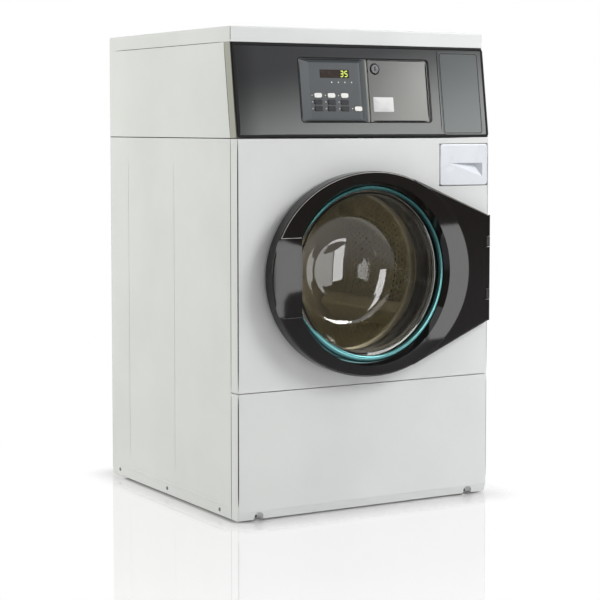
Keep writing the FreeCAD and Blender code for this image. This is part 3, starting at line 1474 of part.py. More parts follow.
# Drum shell: a thin stainless barrel with a rolled mouth and a closed back.
DRUM_INNER = "(drum_radius - sheet)"
drum = turned(
    "drum_shell",
    [
        ("drum_mouth", "drum_front"), ("drum_radius", "drum_front"), ("drum_radius", "drum_back"),
        ("0", "drum_back"), ("0", "drum_back - sheet"), (DRUM_INNER, "drum_back - sheet"),
        (DRUM_INNER, "drum_front + sheet"), ("drum_mouth + sheet", "drum_front + sheet"),
        ("drum_mouth + sheet", "drum_front + drum_lip"), ("drum_mouth", "drum_front + drum_lip"),
    ],
)
settle_on_axis("drum_shell", drum)

# Drum baffles: three rounded lifters along the inside of the shell.
lifters = []
for i in range(3):
    lifter = plate(
        f"lifter_{i}", "XZ_Plane",
        [
            [
                ("-baffle_base / 2", "drum_radius"), ("baffle_base / 2", "drum_radius"),
                ("baffle_top / 2", "drum_radius - baffle_height"),
                ("-baffle_top / 2", "drum_radius - baffle_height"),
            ]
        ],
        "baffle_end - baffle_start", backwards=True, offset="-baffle_start",
    )
    lifter_top = sheet.drum_radius - sheet.baffle_height / 2
    rounded(lifter, "baffle_round", lambda box: runs_along(box, "y") and box.ZMax < lifter_top)
    lifter.Placement = FreeCAD.Placement(V(), FreeCAD.Rotation(V(0, 1, 0), 120 * i))
    lifters.append(lifter)
fitted = doc.addObject("Part::Common", "drum_baffles")
fitted.Base = group("lifter_set", *lifters)
fitted.Tool = rod(
    "lifter_limit", "y", ("0", "0"), f"{DRUM_INNER} - baffle_fit",
    ("baffle_start - sheet", "baffle_end + sheet"),
)
settle_on_axis("drum_baffles", fitted)

# Drum spider: a hub with three tapered arms on the back of the drum, and the shaft that carries it.
arms = []
for i in range(3):
    arm = plate(
        f"spider_arm_{i}", "XZ_Plane",
        [
            [
                ("-arm_root / 2", "0"), ("arm_root / 2", "0"), ("arm_tip / 2", "arm_reach"),
                ("-arm_tip / 2", "arm_reach"),
            ]
        ],
        "arm_thickness", backwards=True, offset="-drum_back",
    )
    arm.Placement = FreeCAD.Placement(V(), FreeCAD.Rotation(V(0, 1, 0), 120 * i))
    arms.append(arm)
spider_ends = ("drum_back", "drum_back + arm_thickness + panel_gap")
hub = rod("spider_centre", "y", ("0", "0"), "spider_hub", spider_ends)
shaft = rod("spider_shaft", "y", ("0", "0"), "shaft_radius", ("drum_back", "shaft_end"))
settle_on_axis("drum_spider", joined("drum_spider", *arms, hub, shaft))


def shaft_ring(name, start, width):
    """A ring that fills the tub's hub and leaves the shaft a running clearance."""
    ends = (start, f"{start} + {width}")
    return carved(
        name,
        rod(name + "_outside", "y", ("0", "0"), "bearing_radius", ends),
        rod(name + "_inside", "y", ("0", "0"), "shaft_radius + shaft_fit", ends),
    )


# Drum bearings: two rings in the tub's hub. Shaft seal: a rubber ring in front of them.
BEARING_START = "(tub_back + seal_width + sheet)"
bearings = [
    shaft_ring(f"hub_bearing_{i}", f"{BEARING_START} + {i} * bearing_pitch", "bearing_width") for i in range(2)
]
settle_on_axis("drum_bearings", group("drum_bearings", *bearings))
settle_on_axis("shaft_seal", group("shaft_seal", shaft_ring("seal_ring", "tub_back", "seal_width")))

# Drum pulley: a cast wheel on the shaft's end with a thin web and a ring of round holes.
PULLEY_BACK = "(pulley_front + pulley_width)"
PULLEY_MIDDLE = "(pulley_front + pulley_width / 2)"
RIM_INNER = "(pulley_radius - pulley_rim)"
web_ends = (f"{PULLEY_MIDDLE} - pulley_web / 2", f"{PULLEY_MIDDLE} + pulley_web / 2")
hub_ends = (f"{PULLEY_MIDDLE} - pulley_hub_width / 2", f"{PULLEY_MIDDLE} + pulley_hub_width / 2")
wheel = turned(
    "drum_pulley",
    [
        ("shaft_radius", hub_ends[0]), ("pulley_hub", hub_ends[0]), ("pulley_hub", web_ends[0]),
        (RIM_INNER, web_ends[0]), (RIM_INNER, "pulley_front"), ("pulley_radius", "pulley_front"),
        ("pulley_radius", PULLEY_BACK), (RIM_INNER, PULLEY_BACK), (RIM_INNER, web_ends[1]),
        ("pulley_hub", web_ends[1]), ("pulley_hub", hub_ends[1]), ("shaft_radius", hub_ends[1]),
    ],
)
first_hole = feature(
    wheel, "Pocket", sketch(wheel, "XZ_Plane", ("pulley_hole_circle", "0", "pulley_hole")), Length=PULLEY_BACK
)
hole_ring = wheel.newObject("PartDesign::PolarPattern", "pulley_hole_ring")
hole_ring.Originals = [first_hole]
hole_ring.Axis = (origin_part(wheel, "Y_Axis"), [""])
hole_ring.Angle = 360
hole_ring.Occurrences = 6
wheel.Tip = hole_ring
settle_on_axis("drum_pulley", wheel)

# Motor body: a round housing with tapered ends, hung by a lug under the tub's bracket.
motor_line = ("motor_x", "motor_height")
BELL_FRONT = "(motor_front + motor_bell)"
BELL_BACK = "(motor_back - motor_bell)"


def taper(name, start, first, second):
    """A round taper as long as the motor's end bell."""
    cone = doc.addObject("Part::Cone", name)
    bind(cone, Radius1=first, Radius2=second, Height="motor_bell")
    return along(cone, "y", motor_line, start)


motor_case = joined(
    "motor_case",
    rod("motor_barrel", "y", motor_line, "motor_radius", (BELL_FRONT, BELL_BACK)),
    taper("motor_front_bell", "motor_front", "motor_bell_radius", "motor_radius"),
    taper("motor_back_bell", BELL_BACK, "motor_radius", "motor_bell_radius"),
    block(
        "motor_lug", ("motor_x - motor_lug_width / 2", "motor_x + motor_lug_width / 2"), MOTOR_LUG,
        ("motor_height", "motor_lug_top"),
    ),
)
motor_way = rod(
    "motor_way", "y", motor_line, "motor_shaft_radius + shaft_fit", ("motor_shaft_front", "motor_back")
)
settle("motor_body", carved("motor_body", motor_case, motor_way))

# Motor pulley: a small flanged wheel made in one with the motor's shaft.
flange_starts = ["pulley_front", f"{PULLEY_BACK} - motor_flange_width"]
settle(
    "motor_pulley",
    joined(
        "motor_pulley",
        rod("motor_wheel", "y", motor_line, "motor_pulley_radius", ("pulley_front", PULLEY_BACK)),
        rod(
            "motor_shaft", "y", motor_line, "motor_shaft_radius",
            ("motor_shaft_front + seat_gap", PULLEY_BACK),
        ),
        *[
            rod(
                f"motor_wheel_flange_{i}", "y", motor_line, "motor_pulley_radius + motor_flange",
                (start, f"{start} + motor_flange_width"),
            )
            for i, start in enumerate(flange_starts)
        ],
    ),
)


def belt_face(extra):
    """The area inside a loop round both wheels, with a distance to add to each wheel's radius."""
    big = sheet.pulley_radius + sheet.belt_gap + extra
    small = sheet.motor_pulley_radius + sheet.belt_gap + extra
    centre = V(sheet.motor_x - sheet.axis_x, 0, sheet.motor_height - sheet.axis_height)
    towards = V(centre).normalize()
    across = V(towards.z, 0, -towards.x)
    lean = (big - small) / centre.Length
    edges = []
    tangents = []
    for side in (1, -1):
        normal = towards * lean + across * (side * math.sqrt(1 - lean**2))
        tangents.append((normal * big, centre + normal * small))
        edges.append(Part.LineSegment(*tangents[-1]).toShape())
    edges.append(Part.Arc(tangents[0][0], towards * -big, tangents[1][0]).toShape())
    edges.append(Part.Arc(tangents[0][1], centre + towards * small, tangents[1][1]).toShape())
    return Part.Face(Part.Wire(Part.__sortEdges__(edges)))


# Drive belt: a flat loop round the drum pulley and the motor pulley.
belt_front = sheet.pulley_front + sheet.pulley_width / 2 - sheet.belt_width / 2
belt_back = belt_front + sheet.belt_width
belt_outside = prism(belt_face(sheet.belt_thickness), belt_front, belt_back)
belt_inside = prism(belt_face(0), belt_front, belt_back)
settle_on_axis("drive_belt", shaped("drive_belt", belt_outside.cut(belt_inside)))

# Suspension springs: four sleeves the size of the coils, with a bar and a hook at each end.
springs = []
bar_half = "(spring_radius - spring_wire / 2)"
for i, side in enumerate((-1, 1)):
    for j, depth in enumerate(spring_depths):
        place = (f"{side} * spring_x", depth)
        coil_ends = ("spring_low + spring_hook", "spring_high - spring_hook")
        coil = carved(
            f"spring_coil_{i}_{j}",
            rod(f"spring_outside_{i}_{j}", "z", place, "spring_radius", coil_ends),
            rod(f"spring_inside_{i}_{j}", "z", place, "spring_radius - spring_wire", coil_ends),
        )
        bars = [
            block(
                f"spring_bar_{i}_{j}_{k}",
                (f"{place[0]} - {bar_half}", f"{place[0]} + {bar_half}"),
                (f"{depth} - spring_wire / 2", f"{depth} + spring_wire / 2"),
                (start, f"{start} + spring_wire"),
            )
            for k, start in enumerate((coil_ends[0], f"{coil_ends[1]} - spring_wire"))
        ]
        hooks = [
            rod(f"spring_low_hook_{i}_{j}", "z", place, "spring_wire / 2", ("spring_low", coil_ends[0])),
            rod(f"spring_high_hook_{i}_{j}", "z", place, "spring_wire / 2", (coil_ends[1], "spring_high")),
        ]
        springs.append(joined(f"spring_{i}_{j}", coil, *bars, *hooks))
settle("suspension_springs", group("suspension_springs", *springs))

# Dampers: four friction struts from the cross beams to the tub's lugs.
dampers = []
for i, side in enumerate((-1, 1)):
    for j, depth in enumerate(damper_depths):
        place = (f"axis_x + {side} * damper_spread", depth)
        case_top = f"{BASE_TOP} + damper_body"
        case = rod(f"damper_case_{i}_{j}", "z", place, "damper_radius", (BASE_TOP, case_top))
        piston = rod(f"damper_piston_{i}_{j}", "z", place, "damper_rod", (case_top, "damper_top"))
        dampers.append(joined(f"damper_{i}_{j}", case, piston))
settle("dampers", group("dampers", *dampers))

# Drain pump: a round pump on the front cross beam, its inlet under the sump and its outlet to the back.
pump_place = ("axis_x", "sump_depth")
PUMP_TOP = f"({BASE_TOP} + pump_height)"
PUMP_BACK = "(sump_depth + pump_radius)"
settle(
    "drain_pump",
    joined(
        "drain_pump",
        rod("pump_case", "z", pump_place, "pump_radius", (BASE_TOP, PUMP_TOP)),
        rod("pump_inlet_spigot", "z", pump_place, "sump_radius", (PUMP_TOP, f"{PUMP_TOP} + pump_inlet")),
        rod(
            "pump_outlet_spigot", "y", ("axis_x", "drain_height"), "drain_radius - drain_wall",
            ("sump_depth", f"{PUMP_BACK} + pump_outlet"),
        ),
    ),
)

# Drain hose: a sleeve from the sump to the pump, and a pipe from the pump out through the rear panel.
sump_hose_ends = (f"{PUMP_TOP} + seat_gap", "sump_hose_top")
drain_line = ("axis_x", "drain_height")
PIPE_START = f"{PUMP_BACK} + panel_gap"
sump_hose = carved(
    "sump_hose",
    rod("sump_hose_outside", "z", pump_place, "sump_radius + drain_wall", sump_hose_ends),
    rod("sump_hose_inside", "z", pump_place, "sump_radius", sump_hose_ends),
)
drain_pipe = carved(
    "drain_pipe",
    joined(
        "drain_outside",
        rod("drain_run", "y", drain_line, "drain_radius", (PIPE_START, THREAD_ROOT)),
        rod("drain_outlet", "y", drain_line, "drain_outlet_radius", (THREAD_ROOT, FITTING_END)),
    ),
    rod("drain_inside", "y", drain_line, "drain_radius - drain_wall", (PIPE_START, FITTING_END)),
)
settle("drain_hose", group("drain_hose", sump_hose, drain_pipe))

# Failed features and broken shapes stop the build before anything is written.
doc.recompute()
for thing in doc.Objects:
    if "Invalid" in thing.State or "Error" in thing.State:
        raise RuntimeError(f"{thing.Name} failed: {thing.State}")
for piece in nodes:
    if piece.Shape.isNull() or not piece.Shape.isValid():
        raise RuntimeError(f"{piece.Label} has no valid shape")

os.makedirs("parts", exist_ok=True)
for piece in nodes:
    piece.Shape.exportStep(f"parts/{piece.Label}.step")
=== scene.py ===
import json
import math

import bmesh
import bpy
import numpy as np
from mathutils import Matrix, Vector

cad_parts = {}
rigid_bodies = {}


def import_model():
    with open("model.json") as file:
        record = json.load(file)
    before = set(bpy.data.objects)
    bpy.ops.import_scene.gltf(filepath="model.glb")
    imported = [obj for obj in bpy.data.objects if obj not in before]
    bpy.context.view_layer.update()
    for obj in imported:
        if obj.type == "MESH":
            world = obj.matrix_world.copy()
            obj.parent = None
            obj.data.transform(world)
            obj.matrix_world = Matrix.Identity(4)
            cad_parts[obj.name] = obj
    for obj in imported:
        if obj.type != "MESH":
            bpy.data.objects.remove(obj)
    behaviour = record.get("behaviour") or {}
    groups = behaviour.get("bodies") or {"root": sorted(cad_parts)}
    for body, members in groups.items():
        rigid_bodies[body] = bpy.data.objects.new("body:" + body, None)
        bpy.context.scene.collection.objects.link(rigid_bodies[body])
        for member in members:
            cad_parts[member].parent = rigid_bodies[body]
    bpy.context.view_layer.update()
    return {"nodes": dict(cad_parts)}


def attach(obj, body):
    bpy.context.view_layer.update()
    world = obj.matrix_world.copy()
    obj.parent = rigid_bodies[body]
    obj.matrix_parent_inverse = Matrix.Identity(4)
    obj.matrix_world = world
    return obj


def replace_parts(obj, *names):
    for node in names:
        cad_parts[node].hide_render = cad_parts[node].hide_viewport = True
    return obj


for stray in list(bpy.data.objects):
    bpy.data.objects.remove(stray)
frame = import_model()

# Base frame and levelling feet. A welded channel frame under dark grey paint carries the machine;
# four zinc-plated screw feet stand in it, each locked by a nut against the channel.
SKIN_DEPTH = 0.0003


def shade(red, green, blue):
    """A display colour of 0 to 255 as linear light: the sRGB curve undone."""
    part = np.array([red, green, blue]) / 255
    linear = np.where(part <= 0.04045, part / 12.92, ((part + 0.055) / 1.055) ** 2.4)
    return (*linear.tolist(), 1.0)


def blank(name):
    """A new material, its node tree and its Principled shader."""
    material = bpy.data.materials.new(name)
    material.use_nodes = True
    return material, material.node_tree, material.node_tree.nodes["Principled BSDF"]


def fill(made, *values, **settings):
    """Sets up a shader node and gives back its outputs. Values go to its inputs in order, and settings, one
    after another, to the properties or inputs that they name; another node's output is linked."""
    fills = list(enumerate(values))
    for word, value in settings.items():
        socket = word.replace("_", " ")
        if socket in made.inputs:
            fills.append((socket, value))
        else:
            setattr(made, word, value)
    for socket, value in fills:
        if isinstance(value, bpy.types.NodeSocket):
            made.id_data.links.new(value, made.inputs[socket])
        else:
            made.inputs[socket].default_value = value
    return made.outputs


def node(tree, kind, *values, **settings):
    """The outputs of a new shader node, set up."""
    return fill(tree.nodes.new("ShaderNode" + kind), *values, **settings)


def object_place(tree, stretch=(1, 1, 1)):
    """The point on the piece, in metres, stretched along each axis."""
    return node(tree, "Mapping", node(tree, "TexCoord")["Object"], Scale=stretch)["Vector"]


def noise(tree, place, scale, detail=3.0):
    """A soft cloud of values about a half, with so many waves a metre."""
    return node(tree, "TexNoise", Vector=place, Scale=scale, Detail=detail)[0]


def ramp(tree, source, shades, start=0.32, end=0.68):
    """A value as a blend of two display colours, the first up to start and the second from end."""
    blend = tree.nodes.new("ShaderNodeValToRGB")
    for stop, position, colour in zip(blend.color_ramp.elements, (start, end), shades):
        stop.position = position
        stop.color = shade(*colour)
    tree.links.new(source, blend.inputs["Fac"])
    return blend.outputs["Color"]


def between(tree, cloud, low, high):
    """A cloud's middle values spread from low to high."""
    return node(tree, "MapRange", cloud, 0.3, 0.7, low, high)["Result"]


def skin_relief(tree, scale, strength, detail=1.0):
    """A fine bump, for the grain that is too small to model."""
    grain = noise(tree, object_place(tree), scale, detail)
    return node(tree, "Bump", Height=grain, Strength=strength, Distance=SKIN_DEPTH)["Normal"]


def finish(name, shades, drift, rough, skin=0.1, skin_scale=700, stretch=(1, 1, 1), on=(), **sockets):
    """A surface whose colour and gloss drift between two values by one soft noise of drift waves a metre,
    with a fine skin of skin_scale waves a metre; other sockets are set by name. It dresses the nodes in on."""
    material, tree, shader = blank(name)
    cloud = noise(tree, object_place(tree, stretch), drift)
    colour, gloss = ramp(tree, cloud, shades), between(tree, cloud, *rough)
    grain = skin_relief(tree, skin_scale, skin)
    fill(shader, Base_Color=colour, Roughness=gloss, Normal=grain, **sockets)
    dress(material, *on)
    return material


def dress(material, *names):
    """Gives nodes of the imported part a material."""
    for name in names:
        mesh = frame["nodes"][name].data
        mesh.materials.clear()
        mesh.materials.append(material)


finish("frame_paint", ((50, 52, 54), (62, 64, 66)), drift=14, rough=(0.42, 0.55), on=["base_frame"])
zinc = finish(
    "zinc_steel", ((148, 148, 142), (182, 181, 174)), drift=60, rough=(0.26, 0.42), skin=0.2, Metallic=1.0,
    on=["levelling_feet"],
)

# Side panels and the panels beside the console. Each is one folded steel sheet under white powder coat,
# stiffened by two upright beads and a long low one, and held to the base by three screws.
SIDE_X = 0.3415
BEAD_DEPTHS = (-0.011, 0.242)
BEAD_ENDS = (0.045, 0.824)
BEAD_SECTION = (0.0020, 0.0009)
LOW_BEAD_HEIGHT = 0.030
LOW_BEAD_ENDS = (-0.292, 0.338)
LOW_BEAD_SECTION = (0.0026, 0.0016)
SIDE_SCREWS = np.array([(0.302, 0.0185), (0.032, 0.0175), (-0.239, 0.0165)])
SIDE_HEAD = (0.0048, 0.0018, 0.0010)
HEAD_RINGS = np.array([0, 0.1, 0.2, 0.32, 0.44, 0.55, 0.64, 0.7, 0.82, 0.92, 0.98, 1.0, 1.0, 0.0])
HEAD_SUNK = 0.0003
CROSS_HALF, CROSS_REACH = 0.17, 0.66


def circle(count):
    """So many angles, evenly round a turn."""
    return np.linspace(0, 2 * np.pi, count, endpoint=False)


def quads(grid, wrap_u, wrap_v):
    """Corner numbers of the cells of a grid of points [u, v], closed on itself where it wraps."""
    n_u, n_v = grid.shape[:2]
    u = np.arange(n_u if wrap_u else n_u - 1)[:, None]
    v = np.arange(n_v if wrap_v else n_v - 1)[None, :]
    corners = [((u + i) % n_u) * n_v + (v + j) % n_v for i, j in ((0, 0), (1, 0), (1, 1), (0, 1))]
    return np.stack(corners, axis=-1).reshape(-1, 4)


def piece_of(name, surfaces, material, body, sharp=35, merge=1e-6, cells=None):
    """One mesh of several grids (points, wrap_u, wrap_v) and of any ready cells (points, faces): doubles at
    poles and seams are merged, faces are turned outwards, and edges sharper than an angle stay crisp."""
    parts = [cells] if cells else []
    parts += [(grid.reshape(-1, 3), quads(grid, *wraps)) for grid, *wraps in surfaces]
    starts = np.cumsum([0] + [len(points) for points, _ in parts])
    mesh = bpy.data.meshes.new(name)
    mesh.from_pydata(
        np.concatenate([points for points, _ in parts]).tolist(), [],
        np.concatenate([faces + start for (_, faces), start in zip(parts, starts)]).tolist(),
    )
    shell = bmesh.new()
    shell.from_mesh(mesh)
    bmesh.ops.remove_doubles(shell, verts=shell.verts, dist=merge)
    bmesh.ops.recalc_face_normals(shell, faces=shell.faces)
    shell.to_mesh(mesh)
    shell.free()
    mesh.polygons.foreach_set("use_smooth", np.ones(len(mesh.polygons), dtype=bool))
    mesh.set_sharp_from_angle(angle=math.radians(sharp))
    mesh.materials.append(material)
    thing = bpy.data.objects.new(name, mesh)
    bpy.context.scene.collection.objects.link(thing)
    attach(thing, body)
    return thing


def bead(start, end, across, outward, half_width, height):
    """A pressed bead: a flat lens section, half_width sin(s) across by height cos(s) out, carried from
    start to end and drawn in to nothing at both ends as (1 - t^12)."""
    t = np.linspace(-1, 1, 25)[:, None, None]
    s = circle(16)[None, :, None]
    start, end, across, outward = (np.array(v, dtype=float) for v in (start, end, across, outward))
    swell = 1 - t**12
    line = (start + end) / 2 + t * (end - start) / 2
    return line + swell * (across * half_width * np.sin(s) + outward * height * np.cos(s)), False, True


def heads(places, outward, radius, height, cross=0.0):
    """Round heads on a sheet: at ring r a head stands height (1 - r^4) out. A cross recess of a given
    depth lies where a point is near either cross line and inside two thirds of the radius."""
    r = HEAD_RINGS[:, None]
    a = circle(32)[None, :]
    flat = np.stack([r * np.cos(a), r * np.sin(a)], axis=-1)
    in_cross = (np.abs(flat).min(axis=-1) < CROSS_HALF) & (r < CROSS_REACH)
    stand = height * (1 - r**4) - cross * in_cross
    stand[-2:] = -HEAD_SUNK
    outward = np.array(outward, dtype=float)
    side = np.cross((0, 0, 1), outward)
    side /= np.linalg.norm(side)
    up = np.cross(outward, side)
    head = radius * (flat[..., :1] * side + flat[..., 1:] * up) + stand[..., None] * outward
    return [(head + place, False, True) for place in np.asarray(places)]


white_paint = finish(
    "white_paint", ((219, 221, 220), (225, 227, 226)), drift=5, rough=(0.36, 0.44), skin=0.05, skin_scale=420,
    Specular_IOR_Level=0.35,
)
dull_zinc = finish(
    "dull_zinc", ((104, 110, 112), (128, 132, 134)), drift=90, rough=(0.3, 0.45), skin=0.2, Metallic=0.8
)
dress(white_paint, "left_side_panel", "right_side_panel", "upper_left_panel", "upper_right_panel")
for word, side in (("left", -1), ("right", 1)):
    x = side * SIDE_X
    out = (side, 0, 0)
    side_beads = [bead(*[(x, y, z) for z in BEAD_ENDS], (0, 1, 0), out, *BEAD_SECTION) for y in BEAD_DEPTHS]
    low_ends = [(x, y, LOW_BEAD_HEIGHT) for y in LOW_BEAD_ENDS]
    side_beads.append(bead(*low_ends, (0, 0, 1), out, *LOW_BEAD_SECTION))
    piece_of(f"{word}_side_beads", side_beads, white_paint, "cabinet")
    screw_places = np.column_stack([np.full(len(SIDE_SCREWS), x), SIDE_SCREWS])
    side_heads = heads(screw_places, out, *SIDE_HEAD)
    piece_of(f"{word}_side_screws", side_heads, dull_zinc, "cabinet")

# Rear panel and access cover. Both are bare galvanised sheet: the cover laps over the drive opening and
# is held by ten pan-head screws, the panel by screws down both edges.
REAR_Y = 0.347
EDGE_SCREW_X = 0.333
EDGE_SCREW_ROWS = (0.075, 0.3, 0.525, 0.75, 0.95, 1.05)
COVER_Y = 0.3485
COVER_SCREW_X = 0.1975
COVER_SCREW_ROWS = (0.1225, 0.275, 0.425, 0.575, 0.7275)
REAR_HEAD = (0.0048, 0.0021, 0.001)


def spangled(name, shades, crystal, rough):
    """Hot-dip zinc: crystals a few millimetres wide, each with its own shade and gloss."""
    material, tree, shader = blank(name)
    cells = node(tree, "TexVoronoi", Vector=object_place(tree), Scale=crystal)
    tone = node(tree, "RGBToBW", cells["Color"])["Val"]
    colour, gloss = ramp(tree, tone, shades, start=0.2, end=0.8), between(tree, tone, *rough)
    grain = skin_relief(tree, scale=500, strength=0.06, detail=2.0)
    fill(shader, Base_Color=colour, Roughness=gloss, Normal=grain, Metallic=0.85)
    return material


galvanised = spangled("galvanised", ((163, 167, 169), (178, 181, 182)), crystal=150, rough=(0.38, 0.5))
dress(galvanised, "rear_panel", "rear_access_cover")
cover_screws = [(side * COVER_SCREW_X, COVER_Y, z) for side in (-1, 1) for z in COVER_SCREW_ROWS]
edge_screws = [(side * EDGE_SCREW_X, REAR_Y, z) for side in (-1, 1) for z in EDGE_SCREW_ROWS]
rear_heads = heads(cover_screws + edge_screws, (0, 1, 0), *REAR_HEAD)
piece_of("rear_screws", rear_heads, zinc, "cabinet")

# Front panel, lower front panel and top cover. Each is a pressed steel pan under the same white powder
# coat; their turned edges leave a narrow dark seam where they meet.
SEAL_X = 0.3413
CORNER_SEAMS = ((0.006, 0.289), (0.295, 0.858), (0.864, 1.073))
CORNER_Y = -0.296
CORNER_SECTION = (0.0016, 0.0003)
EDGE_SEAMS = ((0.036, 0.289), (0.295, 0.858))
EDGE_PLACE = (0.34062, -0.32812)
EDGE_SECTION = (0.0012, 0.0004)
COVER_EDGE_Y = -0.2965
COVER_EDGE_ENDS = (1.0775, 1.108)
COVER_EDGE_SECTION = (0.0017, 0.0003)
COVER_LOW = 1.075
COVER_LOW_ENDS = (-0.2985, 0.345)
COVER_LOW_SECTION = (0.0009, 0.0003)
CONSOLE_LOW = 0.861
CONSOLE_BACKSET = 30 / 214
TOE_NOTCHES = (-0.288, 0.288)
TOE_NOTCH_Z = 0.009
TOE_POCKET_RADIUS = 0.0132
TOE_POCKET_Y = (-0.3235, -0.3165)
TOE_SHEET = 0.0008
TOE_FOOT_Z = 0.0055
TOE_SCREW_OFF = np.array([-0.003, -0.0004, 0.001])
TOE_HEAD = (0.0036, 0.002, 0.001)
dress(white_paint, "front_panel", "lower_front_panel", "top_cover")
# One black for the lock's collar and for fine black lines, most of them painted shade in seams, gaps and on
# rounded edges.
black_seals_and_shade_lines = finish(
    "black_seals_and_shade_lines", ((12, 12, 13), (20, 20, 21)), drift=90, rough=(0.5, 0.65), Specular_IOR_Level=0.15
)
# The black beads in the corner seams, along the front corners and under the top cover are painted shade: the
# shade in each seam, and on the front corners the shade on the panel's rounded edge.
corner_shade_lines = []
for side in (-1, 1):
    x = side * SEAL_X
    out = (side, 0, 0)
    slant = np.array([side, 1, 0]) / math.sqrt(2)
    for seam in CORNER_SEAMS:
        seam_ends = [(x, CORNER_Y + max(0.0, z - CONSOLE_LOW) * CONSOLE_BACKSET, z) for z in seam]
        corner_shade_lines.append(bead(*seam_ends, (0, 1, 0), out, *CORNER_SECTION))
    for seam in EDGE_SEAMS:
        seam_ends = [(side * EDGE_PLACE[0], EDGE_PLACE[1], z) for z in seam]
        corner_shade_lines.append(bead(*seam_ends, slant, slant * (1, -1, 0), *EDGE_SECTION))
    cover_edge = [(x, COVER_EDGE_Y, z) for z in COVER_EDGE_ENDS]
    corner_shade_lines.append(bead(*cover_edge, (0, 1, 0), out, *COVER_EDGE_SECTION))
    cover_low = [(x, y, COVER_LOW) for y in COVER_LOW_ENDS]
    corner_shade_lines.append(bead(*cover_low, (0, 0, 1), out, *COVER_LOW_SECTION))
piece_of("corner_gap_shade_lines", corner_shade_lines, black_seals_and_shade_lines, "cabinet")


def toe_pocket(x):
    """A pressed pocket behind a toe notch: a dish whose depth goes as 1 - r^2, cut flat at the foot of the
    panel, with a back one sheet behind its front."""
    r = np.concatenate([np.linspace(0, 1, 9), np.linspace(1, 0, 9)])[:, None]
    behind = np.repeat([0.0, TOE_SHEET], 9)[:, None]
    a = circle(40)[None, :]
    y = TOE_POCKET_Y[0] + (TOE_POCKET_Y[1] - TOE_POCKET_Y[0]) * (1 - r**2) + behind + 0 * a
    z = np.maximum(TOE_NOTCH_Z + TOE_POCKET_RADIUS * r * np.sin(a), TOE_FOOT_Z)
    return np.stack([x + TOE_POCKET_RADIUS * r * np.cos(a), y, z], axis=-1), False, True


piece_of("toe_pockets", [toe_pocket(x) for x in TOE_NOTCHES], white_paint, "cabinet")
toe_screws = [TOE_SCREW_OFF + (x, TOE_POCKET_Y[1], TOE_NOTCH_Z) for x in TOE_NOTCHES]
piece_of("toe_screws", heads(toe_screws, (0, -1, 0), *TOE_HEAD), dull_zinc, "cabinet")

# Console. A charcoal moulded fascia lies on a leaning pan, coloured a darker olive-grey than the white panels;
# a fine black line runs round its control recess, and a bare blue-grey insert with a thin drawn edge closes
# its right-hand end. Light and shade are painted into the fascia's and the insert's colours, and a black
# edging of painted shade runs round the fascia.
CONSOLE_FOOT = np.array([0.0, -0.329, CONSOLE_LOW])
CONSOLE_LEAN = math.atan(CONSOLE_BACKSET)
CONSOLE_UP = np.array([0.0, math.sin(CONSOLE_LEAN), math.cos(CONSOLE_LEAN)])
CONSOLE_OUT = np.array([0.0, -math.cos(CONSOLE_LEAN), math.sin(CONSOLE_LEAN)])
FASCIA_X = (-0.3385, 0.3385)
FASCIA_U = (0.0045, 0.2115)
FASCIA_LEFT = ((-0.3350, 0.004), (-0.3350, 0.212))
FASCIA_FOOT = ((-0.336, 0.0046), (0.336, 0.0046))
FASCIA_SHADE_X = (-0.336, -0.270)
FASCIA_SHADE = 0.55
RECESS_X = (-0.174, 0.1816)
RECESS_U = (0.036, 0.184)
INSERT_X = (0.2150, 0.3230)
INSERT_U = (0.0110, 0.2000)
INSERT_FOLD = ((0.2075, 0.012), (0.2075, 0.212))


def on_console(x, u, out):
    """Points of the leaning face: x across, u up the slope, out forwards from the fascia's face."""
    x, u, out = (np.asarray(v, dtype=float)[..., None] for v in (x, u, out))
    return CONSOLE_FOOT + x * np.array([1.0, 0, 0]) + u * CONSOLE_UP + out * CONSOLE_OUT


def rounded_loop(x, u, corner):
    """Points round a rectangle with quarter-circle corners, and the outward direction at each."""
    a = np.linspace(0, np.pi / 2, 9)[None, :] + np.arange(4)[:, None] * np.pi / 2
    direction = np.stack([np.cos(a), np.sin(a)], axis=-1)
    corners = np.array([(x[1], u[1]), (x[0], u[1]), (x[0], u[0]), (x[1], u[0])])
    inward = np.array([(-1, -1), (1, -1), (1, 1), (-1, 1)])
    loop = (corners + inward * corner)[:, None, :] + corner * direction
    return loop.reshape(-1, 2), direction.reshape(-1, 2)


def edge_line(x, u, corner, half_width, rise, out=0.0):
    """A fine raised line round a rounded rectangle: a lens section, half_width cos(s) across the line
    and rise sin(s) out of the face, carried round the loop."""
    loop, direction = rounded_loop(x, u, corner)
    s = circle(12)[None, :]
    flat = loop[:, None, :] + direction[:, None, :] * (half_width * np.cos(s))[..., None]
    return on_console(flat[..., 0], flat[..., 1], out + rise * np.sin(s) + 0 * flat[..., 0]), True, True


def face_bead(start, end, half_width, rise, out=0.0):
    """A straight bead from one (x, u) point of the console to another, half sunk in the face."""
    across = CONSOLE_UP if start[1] == end[1] else (1, 0, 0)
    return bead(on_console(*start, out), on_console(*end, out), across, CONSOLE_OUT, half_width, rise)


def graded(name, shades, towards, ends, rough, skin=0.1, skin_scale=1500, **sockets):
    """A surface that passes from one colour to another along a direction, between two distances in
    metres, with a slight drift in gloss and a fine skin."""
    material = finish(name, shades, drift=8, rough=rough, skin=skin, skin_scale=skin_scale, **sockets)
    tree = material.node_tree
    run = node(tree, "VectorMath", object_place(tree), towards, operation="DOT_PRODUCT")["Value"]
    span = node(tree, "MapRange", run, *ends, interpolation_type="SMOOTHSTEP")["Result"]
    fill(tree.nodes["Principled BSDF"], Base_Color=ramp(tree, span, shades, start=0.0, end=1.0))
    return material


